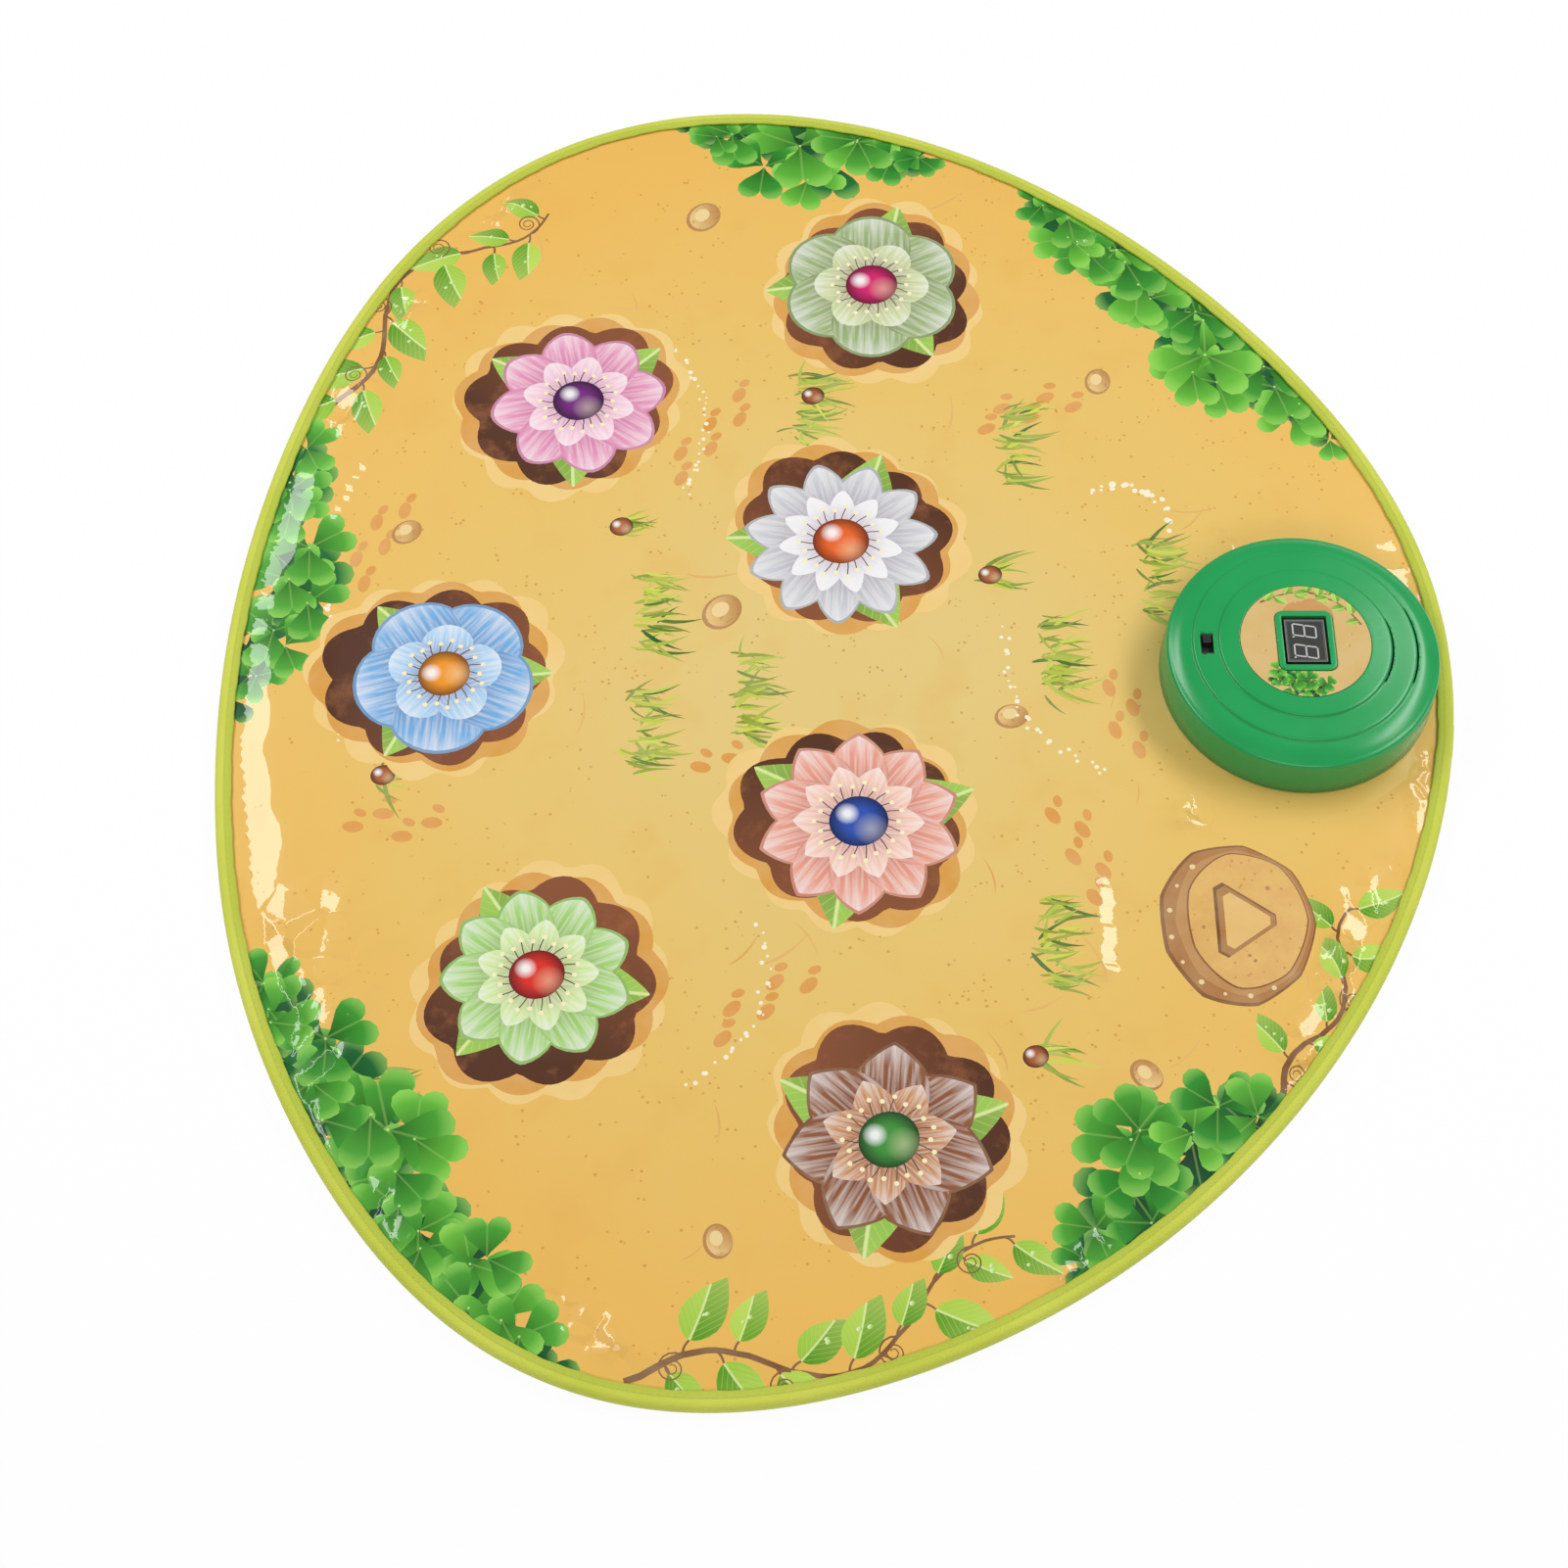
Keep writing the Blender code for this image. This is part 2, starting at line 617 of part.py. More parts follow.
def build_top_shell(unit, looks):
    """The stepped green cover, with its bezel, posts, pins, window, switch slot and sound slots."""
    outside, inside = shell_profile()
    shell = place(
        "unit_top_shell",
        turned_mesh("unit_top_shell", inside + outside, UNIT_STEPS, closed=False),
        looks["shell"],
        parent=unit,
    )
    bezel = rounded_rectangle(WINDOW_X / 2 + BEZEL_RIM, WINDOW_Y / 2 + BEZEL_RIM, BEZEL_CORNER)
    join(shell, prism("bezel_block", bezel, None, INNER_ROOF + SHELL_WALL / 2, BEZEL_TOP, parent=unit))
    for index, at in enumerate(case_screw_places()):
        post = cylinder(
            f"post_block_{index}",
            POST_RADIUS,
            BOSS_TOP + TOUCH_GAP,
            OUTER_ROOF + OVERRUN / 2,
            at,
            unit,
            HOLE_STEPS,
        )
        join(shell, post)
    for index, at in enumerate(board_stakes()):
        pin = stepped_profile(
            BOARD_BASE - STAKE_PROUD,
            STAKE_RADIUS,
            BOARD_TOP + TOUCH_GAP,
            STAKE_COLLAR_RADIUS,
            roof_over(at, STAKE_COLLAR_RADIUS) + SHELL_WALL / 2,
        )
        join(shell, turned(f"board_pin_{index}", pin, None, SCREW_STEPS, (*at, 0), unit))
    clamp_base = SPEAKER_TOP - SPEAKER_FLANGE - TOUCH_GAP - CLAMP_THICKNESS
    for index, at in enumerate(speaker_stakes()):
        pin = cylinder(
            f"speaker_pin_{index}",
            STAKE_RADIUS,
            clamp_base - STAKE_PROUD,
            roof_over(at, STAKE_RADIUS) + SHELL_WALL / 2,
            at,
            unit,
        )
        join(shell, pin)
    window = rounded_rectangle(WINDOW_X / 2, WINDOW_Y / 2, WINDOW_CORNER)
    low, high = INNER_ROOF - OVERRUN, BEZEL_TOP + OVERRUN
    cut(shell, prism("window_cutter", window, None, low, high, parent=unit))
    slot = rectangle(SWITCH_SLOT_X / 2, SWITCH_SLOT_Y / 2, -SWITCH_RADIUS_PLACE)
    cut(shell, prism("switch_cutter", slot, None, OUTER_ROOF - OVERRUN, BEZEL_TOP, parent=unit))
    slots = (
        ("inner_slot_cutter", INNER_STEP_RADIUS + STEP_FILLET, INNER_SLOT_HALF_ANGLE),
        ("outer_slot_cutter", OUTER_STEP_RADIUS + STEP_FILLET, OUTER_SLOT_HALF_ANGLE),
    )
    for name, radius, half_angle in slots:
        cut(shell, slot_sector(name, radius, half_angle, OUTER_ROOF - 2 * OVERRUN, BEZEL_TOP, unit))
    pilot_top = HEAD_RECESS + CASE_SCREW_LENGTH + OVERRUN
    for index, at in enumerate(case_screw_places()):
        pilot = cylinder(
            f"pilot_cutter_{index}", SCREW_SHAFT + SCREW_PLAY, BOSS_TOP - OVERRUN, pilot_top, at, unit
        )
        cut(shell, pilot)


def build_label(unit, look):
    edge = circle(LABEL_RADIUS, UNIT_STEPS)
    half_x = WINDOW_X / 2 + BEZEL_RIM + TOUCH_GAP
    half_y = WINDOW_Y / 2 + BEZEL_RIM + TOUCH_GAP
    hole = rounded_rectangle(half_x, half_y, BEZEL_CORNER + TOUCH_GAP)
    plate("label_disc", [edge, hole], LABEL_FLOOR + TOUCH_GAP, LABEL_THICKNESS, look, unit)


def build_display(unit, looks):
    block = rectangle(DISPLAY_X / 2, DISPLAY_Y / 2)
    low = DISPLAY_TOP - DISPLAY_HEIGHT
    prism("display_module", block, looks["display"], low, DISPLAY_TOP, parent=unit)
    outer = rectangle(WINDOW_X / 2 - TOUCH_GAP, WINDOW_Y / 2 - TOUCH_GAP)
    inner = rectangle(DISPLAY_X / 2 + TOUCH_GAP, DISPLAY_Y / 2 + TOUCH_GAP)
    base = BEZEL_TOP - GASKET_SET_BACK - GASKET_HEIGHT
    plate("display_gasket", [outer, inner], base, GASKET_HEIGHT, looks["gasket"], unit)


def build_board(unit, looks):
    """The board hangs under the roof on four pins, whose ends are melted over."""
    switch_end = SWITCH_RADIUS_PLACE + SWITCH_BODY_X / 2 + BOARD_SWITCH_MARGIN
    half_x = (switch_end + BOARD_INNER_END) / 2
    middle = BOARD_INNER_END - half_x
    edge = rounded_rectangle(half_x, BOARD_HALF_WIDTH, BOARD_CORNER, middle)
    holes = [circle(STAKE_RADIUS + TOUCH_GAP, SCREW_STEPS, *at) for at in board_stakes()]
    holes += [circle(TAIL_SCREW_SHAFT + TOUCH_GAP, SCREW_STEPS, *at) for at in tail_screw_places()]
    plate("main_board", [edge, *holes], BOARD_BASE, BOARD_THICKNESS, looks["board"], unit)
    top = BOARD_BASE - TOUCH_GAP
    blob = [(0, top - CHIP_HEIGHT), (CHIP_RADIUS / 2, top - CHIP_HEIGHT), (CHIP_RADIUS, top), (0, top)]
    turned("control_chip", blob, looks["gasket"], HOLE_STEPS, parent=unit)


def build_switch(unit, looks):
    """The switch sits on the board, and its ribbed knob stands at one end of the slot."""
    skirt_base = KNOB_SKIRT_TOP - KNOB_SKIRT_HEIGHT
    body = rectangle(SWITCH_BODY_X / 2, SWITCH_BODY_Y / 2, -SWITCH_RADIUS_PLACE)
    low, high = BOARD_TOP + TOUCH_GAP, skirt_base - TOUCH_GAP
    prism("switch_body", body, looks["metal"], low, high, parent=unit)
    travel_y = SWITCH_SLOT_Y / 2 - TOUCH_GAP - KNOB_Y / 2
    top = OUTER_LAND + LAND_FALL + KNOB_PROUD
    half = KNOB_Y / 2
    skirt = half + KNOB_SKIRT_SIDE
    side = [(-half, top - KNOB_RIDGE), (-half, KNOB_SKIRT_TOP)]
    side += [(-skirt, KNOB_SKIRT_TOP), (-skirt, skirt_base)]
    side += [(-y, z) for y, z in reversed(side)]
    for ridge in range(KNOB_RIDGES, 0, -1):
        pitch = KNOB_Y / KNOB_RIDGES
        crest = -half + pitch * (ridge - 1 / 2)
        side += [(crest + pitch / 4, top), (crest - pitch / 4, top)]
        if ridge > 1:
            side.append((crest - pitch / 2, top - KNOB_RIDGE))
    knob = prism(
        "switch_knob",
        side,
        looks["knob"],
        -KNOB_X / 2,
        KNOB_X / 2,
        axis="Y",
        at=(-SWITCH_RADIUS_PLACE, travel_y, 0),
        parent=unit,
    )
    knob.rotation_euler = (0, 0, math.pi / 2)


def build_speaker(unit, looks):
    """Basket, paper cone, magnet, and the ring that clamps the basket under the roof."""
    at = (SPEAKER_PLACE, 0, 0)
    top = SPEAKER_TOP
    low = top - SPEAKER_FLANGE
    floor = top - SPEAKER_DEPTH
    inner = SPEAKER_RADIUS - SPEAKER_FLANGE_WIDTH
    basket = [
        (0, floor),
        (SPEAKER_BASE_RADIUS, floor),
        (inner - SPEAKER_SHEET, low),
        (SPEAKER_RADIUS, low),
        (SPEAKER_RADIUS, top),
        (inner, top),
        (SPEAKER_BASE_RADIUS, floor + SPEAKER_SHEET),
        (0, floor + SPEAKER_SHEET),
    ]
    turned("speaker_frame", basket, looks["metal"], SPEAKER_STEPS, at, unit)
    rim = inner - SPEAKER_SHEET
    drop = CONE_DEPTH * rim / SPEAKER_RADIUS
    cone = [(0, top - drop - CONE_SHEET), (rim, top - CONE_SHEET), (rim, top), (0, top - drop)]
    turned("speaker_cone", cone, looks["cone"], SPEAKER_STEPS, at, unit)
    magnet = disc_profile(MAGNET_RADIUS, floor - TOUCH_GAP - MAGNET_HEIGHT, floor - TOUCH_GAP)
    turned("speaker_magnet", magnet, looks["metal"], HOLE_STEPS, at, unit)
    clamp_top = low - TOUCH_GAP
    clamp_base = clamp_top - CLAMP_THICKNESS
    half = CLAMP_WIDTH / 2
    ring = ring_profile(SPEAKER_RADIUS - half, SPEAKER_RADIUS + half, clamp_base, clamp_top)
    clamp = turned("speaker_clamp", ring, looks["film"], SPEAKER_STEPS, at, unit, closed=True)
    for index, place_xy in enumerate(speaker_stakes()):
        ear = cylinder(
            f"clamp_ear_{index}", CLAMP_EAR_RADIUS, clamp_base, clamp_top, place_xy, unit
        )
        join(clamp, ear)
    low, high = clamp_base - OVERRUN, clamp_top + OVERRUN
    for index, place_xy in enumerate(speaker_stakes()):
        radius = STAKE_RADIUS + TOUCH_GAP
        cut(clamp, cylinder(f"clamp_hole_{index}", radius, low, high, place_xy, unit))


def cell_places():
    """X of each cell, and which way its positive end points along Y."""
    pitch = 2 * CELL_RADIUS + CELL_GAP
    first = BAY_X - pitch * (CELL_COUNT - 1) / 2
    return [(first + pitch * index, 1 if index % 2 == 0 else -1) for index in range(CELL_COUNT)]


def build_base_shell(unit, looks):
    """Floor with a clamping flange, a low wall, screw bosses, and the battery bay let into it."""
    section = [
        (0, 0),
        (FLANGE_RADIUS, 0),
        (FLANGE_RADIUS, FLANGE_TOP),
        (BASE_WALL_RADIUS, FLANGE_TOP),
        (BASE_WALL_RADIUS, BASE_WALL_TOP),
        (BASE_WALL_RADIUS - BASE_WALL, BASE_WALL_TOP),
        (BASE_WALL_RADIUS - BASE_WALL, BASE_FLOOR),
        (0, BASE_FLOOR),
    ]
    shell = turned("unit_base_shell", section, looks["shell"], BASE_STEPS, parent=unit)
    half_x, half_y = BAY_HALF_X + BAY_WALL, BAY_HALF_Y + BAY_WALL
    bay = rectangle(half_x, half_y, BAY_X)
    join(shell, prism("bay_block", bay, None, BASE_FLOOR / 2, BAY_TOP + BAY_WALL, parent=unit))
    tongue_x = BAY_X + BAY_HALF_X
    boss = rectangle(
        (DOOR_TONGUE + DOOR_BOSS_SIDE) / 2,
        DOOR_TONGUE_HALF + DOOR_BOSS_SIDE,
        tongue_x + (DOOR_TONGUE + DOOR_BOSS_SIDE) / 2,
    )
    join(shell, prism("door_boss_block", boss, None, BASE_FLOOR / 2, DOOR_BOSS_TOP, parent=unit))
    for index, at in enumerate(case_screw_places()):
        boss = cylinder(
            f"boss_block_{index}", BOSS_RADIUS, BASE_FLOOR / 2, BOSS_TOP, at, unit, HOLE_STEPS
        )
        join(shell, boss)
    cavity = rectangle(BAY_HALF_X, BAY_HALF_Y, BAY_X)
    cut(shell, prism("bay_cutter", cavity, None, -OVERRUN, BAY_TOP, parent=unit))
    tongue = rectangle(
        (DOOR_TONGUE + OVERRUN) / 2, DOOR_TONGUE_HALF, tongue_x + (DOOR_TONGUE - OVERRUN) / 2
    )
    tongue_top = DOOR_THICKNESS + 2 * TOUCH_GAP
    cut(shell, prism("tongue_cutter", tongue, None, -OVERRUN, tongue_top, parent=unit))
    screw_x = door_screw_x()
    pilot_top = DOOR_SCREW_SEAT + DOOR_SCREW_LENGTH + TOUCH_GAP
    hole = cylinder(
        "door_pilot_cutter", SCREW_SHAFT + SCREW_PLAY, 0, pilot_top, (screw_x, 0), unit
    )
    cut(shell, hole)
    head, shaft = SCREW_HEAD + SCREW_PLAY, SCREW_SHAFT + SCREW_PLAY
    for index, at in enumerate(case_screw_places()):
        seat = stepped_profile(-OVERRUN, head, HEAD_RECESS, shaft, BOSS_TOP + OVERRUN)
        cut(shell, turned(f"case_seat_cutter_{index}", seat, None, SCREW_STEPS, (*at, 0), unit))
    low, high = BAY_TOP - OVERRUN, BAY_TOP + TAB_PROUD
    for index, (x, y) in enumerate(tab_places()):
        gap = rectangle(
            TAB_SIDE / 2 + TOUCH_GAP, (PLATE_THICKNESS + 2 * TOUCH_GAP + OVERRUN) / 2, x, y
        )
        cut(shell, prism(f"tab_cutter_{index}", gap, None, low, high, parent=unit))


def door_screw_x():
    return BAY_X + BAY_HALF_X + DOOR_TONGUE / 2


def plate_y():
    """Middle of the thin contact plates, which stand against the bay's end walls."""
    return BAY_HALF_Y - TOUCH_GAP - PLATE_THICKNESS / 2


def tab_places():
    """The two terminals whose tabs rise through the bay's roof."""
    cells = cell_places()
    return [(cells[0][0], cells[0][1] * plate_y()), (cells[-1][0], -cells[-1][1] * plate_y())]


def build_door(unit, looks):
    """The battery door fills the floor's opening, with one screw through its tongue."""
    half_x, half_y = BAY_HALF_X - TOUCH_GAP, BAY_HALF_Y - TOUCH_GAP
    tongue_half = DOOR_TONGUE_HALF - TOUCH_GAP
    right = BAY_X + half_x
    tip = BAY_X + BAY_HALF_X + DOOR_TONGUE - TOUCH_GAP
    edge = [
        (BAY_X - half_x, -half_y),
        (right, -half_y),
        (right, -tongue_half),
        (tip, -tongue_half),
        (tip, tongue_half),
        (right, tongue_half),
        (right, half_y),
        (BAY_X - half_x, half_y),
    ]
    low, high = TOUCH_GAP, TOUCH_GAP + DOOR_THICKNESS
    door = prism("battery_door", edge, looks["shell"], low, high, parent=unit)
    at = (door_screw_x(), 0)
    head, shaft = SCREW_HEAD + SCREW_PLAY, SCREW_SHAFT + SCREW_PLAY
    seat = stepped_profile(-OVERRUN, head, DOOR_SCREW_SEAT, shaft, high + OVERRUN)
    cut(door, turned("door_seat_cutter", seat, None, SCREW_STEPS, (*at, 0), unit))
    head_top = DOOR_SCREW_SEAT - TOUCH_GAP
    screw(
        "battery_door_screw", at, head_top, DOOR_HEAD_HEIGHT, DOOR_SCREW_LENGTH, looks["metal"], unit
    )


def screw(name, at, seat, head, length, look, unit, shaft=SCREW_SHAFT, head_radius=SCREW_HEAD):
    """A plain screw driven upwards: its head hangs below the seat, and its shaft goes up."""
    profile = stepped_profile(seat - head, head_radius, seat, shaft, seat + length)
    return turned(name, profile, look, SCREW_STEPS, (*at, 0), unit)


def build_case_screws(unit, looks):
    for number, at in enumerate(case_screw_places(), start=1):
        seat = HEAD_RECESS - TOUCH_GAP
        screw(
            f"case_screw_{number}",
            at,
            seat,
            SCREW_HEAD_HEIGHT,
            CASE_SCREW_LENGTH,
            looks["metal"],
            unit,
        )


def spring_points(start, way):
    """A cone of wire turns that runs along Y from start."""
    count = round(SPRING_TURNS * SPRING_TURN_POINTS)
    free = SPRING_LENGTH - 2 * SPRING_WIRE - TOUCH_GAP
    points = []
    for step in range(count + 1):
        share = step / count
        radius = SPRING_WIDE + (SPRING_NARROW - SPRING_WIDE) * share
        angle = 2 * math.pi * step / SPRING_TURN_POINTS
        along = start + way * (SPRING_WIRE + free * share)
        points.append((radius * math.cos(angle), along, radius * math.sin(angle)))
    return points


def tube(name, points, radius, look, resolution, at=(0, 0, 0), parent=None):
    """A round wire along points, with closed ends."""
    curve = bpy.data.curves.new(name, "CURVE")
    curve.dimensions = "3D"
    curve.bevel_depth = radius
    curve.bevel_resolution = resolution
    curve.use_fill_caps = True
    spline = curve.splines.new("POLY")
    spline.points.add(len(points) - 1)
    for point, co in zip(spline.points, points):
        point.co = (*co, 1)
    return place(name, curve, look, at, parent)


def build_cells(unit, looks):
    """Three cells side by side, head to tail, with springs, link plates and two terminals."""
    middle = CELL_BASE + CELL_RADIUS
    cells = cell_places()
    nub_tip = plate_y() - PLATE_THICKNESS / 2 - TOUCH_GAP
    for number, (x, way) in enumerate(cells, start=1):
        profile = [
            (0, 0),
            (CELL_RADIUS, 0),
            (CELL_RADIUS, CELL_BODY),
            (CELL_NUB_RADIUS, CELL_BODY),
            (CELL_NUB_RADIUS, CELL_LENGTH),
            (0, CELL_LENGTH),
        ]
        tail = way * (nub_tip - CELL_LENGTH)
        cell = turned(
            f"battery_{number}", profile, looks["cell"], HOLE_STEPS, (x, tail, middle), unit
        )
        cell.rotation_euler = (-way * math.pi / 2, 0, 0)
        start = -way * (plate_y() - PLATE_THICKNESS / 2 - TOUCH_GAP)
        spring = spring_points(start, way)
        tube(
            f"battery_spring_{number}", spring, SPRING_WIRE, looks["metal"], 1, (x, 0, middle), unit
        )
    low, high = middle - PLATE_SIDE / 2, middle + PLATE_SIDE / 2
    for index, name in enumerate(("battery_plate_positive", "battery_plate_negative")):
        x, y = tab_places()[index]
        crest = BAY_TOP + BAY_WALL + TAB_PROUD
        half, tab = PLATE_SIDE / 2, TAB_SIDE / 2
        shape = [(x - half, low), (x + half, low), (x + half, high), (x + tab, high)]
        shape += [(x + tab, crest), (x - tab, crest), (x - tab, high), (x - half, high)]
        front, back = y - PLATE_THICKNESS / 2, y + PLATE_THICKNESS / 2
        prism(name, shape, looks["metal"], front, back, "Y", parent=unit)
    for index, way in enumerate((-cells[0][1], -cells[1][1])):
        left, right = cells[index][0], cells[index + 1][0]
        half = PLATE_SIDE / 2
        shape = [(left - half, low), (right + half, low), (right + half, high), (left - half, high)]
        front, back = way * plate_y() - PLATE_THICKNESS / 2, way * plate_y() + PLATE_THICKNESS / 2
        prism(f"battery_link_{index + 1}", shape, looks["metal"], front, back, "Y", parent=unit)


def tail_screw_places():
    x = -SWITCH_RADIUS_PLACE + CLAMP_BAR_INSET
    y = TAIL_HALF_WIDTH + CLAMP_BAR_EXTRA / 2
    return [(x, y), (x, -y)]


def arc(centre, radius, start, stop):
    """Points of an arc from start to stop, in degrees."""
    angles = [
        math.radians(start + (stop - start) * step / TAIL_BEND_STEPS)
        for step in range(TAIL_BEND_STEPS + 1)
    ]
    return [(centre[0] + radius * math.cos(a), centre[1] + radius * math.sin(a)) for a in angles]


def build_tail(unit, looks):
    """The printed ribbon leaves the upper film, climbs past the base wall and lies under the board."""
    top = BOARD_BASE - TOUCH_GAP
    riser = -BASE_WALL_RADIUS - TAIL_RISER_INSET
    foot = UPPER_FILM_BASE + FILM_THICKNESS
    half = TAIL_THICKNESS / 2
    end = -SWITCH_RADIUS_PLACE + TAIL_UNDER_BOARD
    side_x = math.sqrt(MAT_HOLE_RADIUS**2 - TAIL_HALF_WIDTH**2)
    edge_x = -side_x * math.cos(math.pi / BASE_STEPS) + TOUCH_GAP
    foot_centre = (riser - TAIL_FOOT_BEND, foot + TAIL_FOOT_BEND - half)
    top_centre = (riser + TAIL_BEND, top - half - TAIL_BEND)
    line = [
        (TAIL_FOOT_BEND, foot_centre, 270, 360, 1),
        (TAIL_BEND, top_centre, 180, 90, -1),
    ]
    left, right = [(edge_x, foot - TAIL_THICKNESS)], [(edge_x, foot)]
    for radius, centre, start, stop, turn in line:
        left += arc(centre, radius + turn * half, start, stop)
        right += arc(centre, radius - turn * half, start, stop)
    left.append((end, top - TAIL_THICKNESS))
    right.append((end, top))
    ribbon = left + right[::-1]
    prism(
        "circuit_tail", ribbon, looks["tail"], -TAIL_HALF_WIDTH, TAIL_HALF_WIDTH, "Y", parent=unit
    )
    bar_top = top - TAIL_THICKNESS - TOUCH_GAP
    x = -SWITCH_RADIUS_PLACE + CLAMP_BAR_INSET
    bar = rectangle(CLAMP_BAR_X / 2, TAIL_HALF_WIDTH + CLAMP_BAR_EXTRA, x)
    holes = [circle(TAIL_SCREW_SHAFT + TOUCH_GAP, SCREW_STEPS, *at) for at in tail_screw_places()]
    base = bar_top - CLAMP_BAR_HEIGHT
    plate("tail_clamp_bar", [bar, *holes], base, CLAMP_BAR_HEIGHT, looks["film"], unit)
    length = BOARD_TOP + TAIL_SCREW_PROUD - base + TOUCH_GAP
    for number, at in enumerate(tail_screw_places(), start=1):
        screw(
            f"tail_screw_{number}",
            at,
            base - TOUCH_GAP,
            TAIL_SCREW_HEAD_HEIGHT,
            length,
            looks["metal"],
            unit,
            TAIL_SCREW_SHAFT,
            TAIL_SCREW_HEAD,
        )


def lead_points(start, stop, sway):
    """A smooth lead that leaves start downwards, sags sideways by sway, and ends at stop."""
    start, stop, sway = Vector(start), Vector(stop), Vector(sway)
    points = []
    for step in range(LEAD_POINTS):
        share = step / (LEAD_POINTS - 1)
        ease = share * share * (3 - 2 * share)
        across = start.lerp(stop, ease)
        height = start.z + (stop.z - start.z) * share
        bow = sway * math.sin(math.pi * share)
        points.append((across.x + bow.x, across.y + bow.y, height + bow.z))
    return points


def build_leads(unit, looks):
    """Two leads from the board to the speaker, and two from the board to the battery terminals."""
    below = BOARD_BASE - TOUCH_GAP - LEAD_RADIUS
    floor = SPEAKER_TOP - SPEAKER_DEPTH
    speaker_edge = SPEAKER_PLACE - MAGNET_RADIUS - TOUCH_GAP - LEAD_RADIUS
    for colour, side in (("red", 1), ("black", -1)):
        start = (BOARD_INNER_END - LEAD_PITCH, side * LEAD_PITCH, below)
        stop = (speaker_edge, side * LEAD_RADIUS * 2, floor - MAGNET_HEIGHT / 2)
        route = lead_points(start, stop, (0, side * LEAD_SWAY, -LEAD_SWAY / 2))
        tube(f"speaker_lead_{colour}", route, LEAD_RADIUS, looks[colour], 1, parent=unit)
    crest = BAY_TOP + BAY_WALL + TAB_PROUD
    for colour, (x, y) in zip(("red", "black"), tab_places()):
        side = 1 if y > 0 else -1
        start = (x + LEAD_PITCH, y - side * 3 * LEAD_PITCH, below)
        stop = (x, y, crest + TOUCH_GAP + LEAD_RADIUS)
        route = lead_points(start, stop, (0, -side * LEAD_SWAY / 2, 0))
        tube(f"battery_lead_{colour}", route, LEAD_RADIUS, looks[colour], 1, parent=unit)


def finishes():
    return {
        "print": material("printed_sheet", (0.83, 0.53, 0.17), 0.12),
        "stone": material("select_print", (0.60, 0.36, 0.14), 0.12),
        "binding": material("lime_binding", (0.55, 0.61, 0.07), 0.8),
        "backing": material("grey_backing", (0.20, 0.20, 0.21), 0.9),
        "foam": material("white_foam", (0.80, 0.80, 0.78), 0.9),
        "film": material("milky_film", (0.62, 0.66, 0.68), 0.35),
        "carbon": material("carbon_ink", (0.02, 0.02, 0.02), 0.6),
        "tail": material("tail_film", (0.55, 0.52, 0.40), 0.35),
        "shell": material("green_shell", (0.03, 0.36, 0.11), 0.35),
        "label": material("printed_label", (0.62, 0.42, 0.16), 0.35),
        "display": material("display_black", (0.03, 0.03, 0.03), 0.25),
        "gasket": material("black_foam", (0.01, 0.01, 0.01), 0.9),
        "board": material("board_green", (0.02, 0.16, 0.06), 0.45),
        "metal": material("plated_steel", (0.60, 0.60, 0.60), 0.3, 1.0),
        "knob": material("black_knob", (0.02, 0.02, 0.02), 0.5),
        "cone": material("speaker_paper", (0.04, 0.04, 0.04), 0.9),
        "cell": material("cell_jacket", (0.10, 0.12, 0.16), 0.35),
        "red": material("red_lead", (0.55, 0.02, 0.02), 0.5),
        "black": material("black_lead", (0.02, 0.02, 0.02), 0.5),
    }


def main():
    clear_scene()
    looks = finishes()
    unit = place("unit_centre", None, None, (UNIT_X, 0, 0))
    build_binding(looks["binding"])
    build_layers(looks)
    build_targets(looks)
    build_top_shell(unit, looks)
    build_label(unit, looks["label"])
    build_display(unit, looks)
    build_board(unit, looks)
    build_switch(unit, looks)
    build_speaker(unit, looks)
    build_base_shell(unit, looks)
    build_door(unit, looks)
    build_case_screws(unit, looks)
    build_cells(unit, looks)
    build_tail(unit, looks)
    build_leads(unit, looks)


main()
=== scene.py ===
# %% [markdown]
# # A pounding game mat
#
# A padded vinyl mat lies on the floor. Round targets in its print are hit, and a green score unit at
# its edge counts the hits. The solids of the mat come packed, as a fixed frame in metres. This lesson
# dresses them: it makes the soft and printed pieces as surfaces worked out with numpy, and gives every
# piece a finish built from shader nodes. Lengths below are in millimetres until a mesh is made.

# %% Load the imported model
import math

import bpy
import numpy as np
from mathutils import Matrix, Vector
from mathutils.geometry import delaunay_2d_cdt


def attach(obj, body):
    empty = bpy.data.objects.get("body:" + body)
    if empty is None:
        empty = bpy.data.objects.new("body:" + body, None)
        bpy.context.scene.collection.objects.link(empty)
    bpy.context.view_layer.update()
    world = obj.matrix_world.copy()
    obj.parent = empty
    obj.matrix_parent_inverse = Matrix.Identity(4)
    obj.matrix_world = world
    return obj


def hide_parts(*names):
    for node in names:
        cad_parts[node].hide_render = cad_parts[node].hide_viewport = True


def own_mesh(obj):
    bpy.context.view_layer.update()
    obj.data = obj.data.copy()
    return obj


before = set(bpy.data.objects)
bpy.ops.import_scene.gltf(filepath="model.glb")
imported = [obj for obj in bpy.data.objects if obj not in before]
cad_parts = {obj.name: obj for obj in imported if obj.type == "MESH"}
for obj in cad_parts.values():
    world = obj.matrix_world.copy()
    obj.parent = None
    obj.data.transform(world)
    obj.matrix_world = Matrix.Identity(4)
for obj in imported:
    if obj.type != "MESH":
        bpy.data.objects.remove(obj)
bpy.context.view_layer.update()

MM = 0.001

# %% [markdown]
# ## Camera
#
# The photograph is taken from in front and about 60 degrees above the floor, with a long lens, so the
# egg shape is hardly drawn out. The place and the lens were worked out from the mat's edge and from
# the score unit's circles, which is surer than matching them by eye.

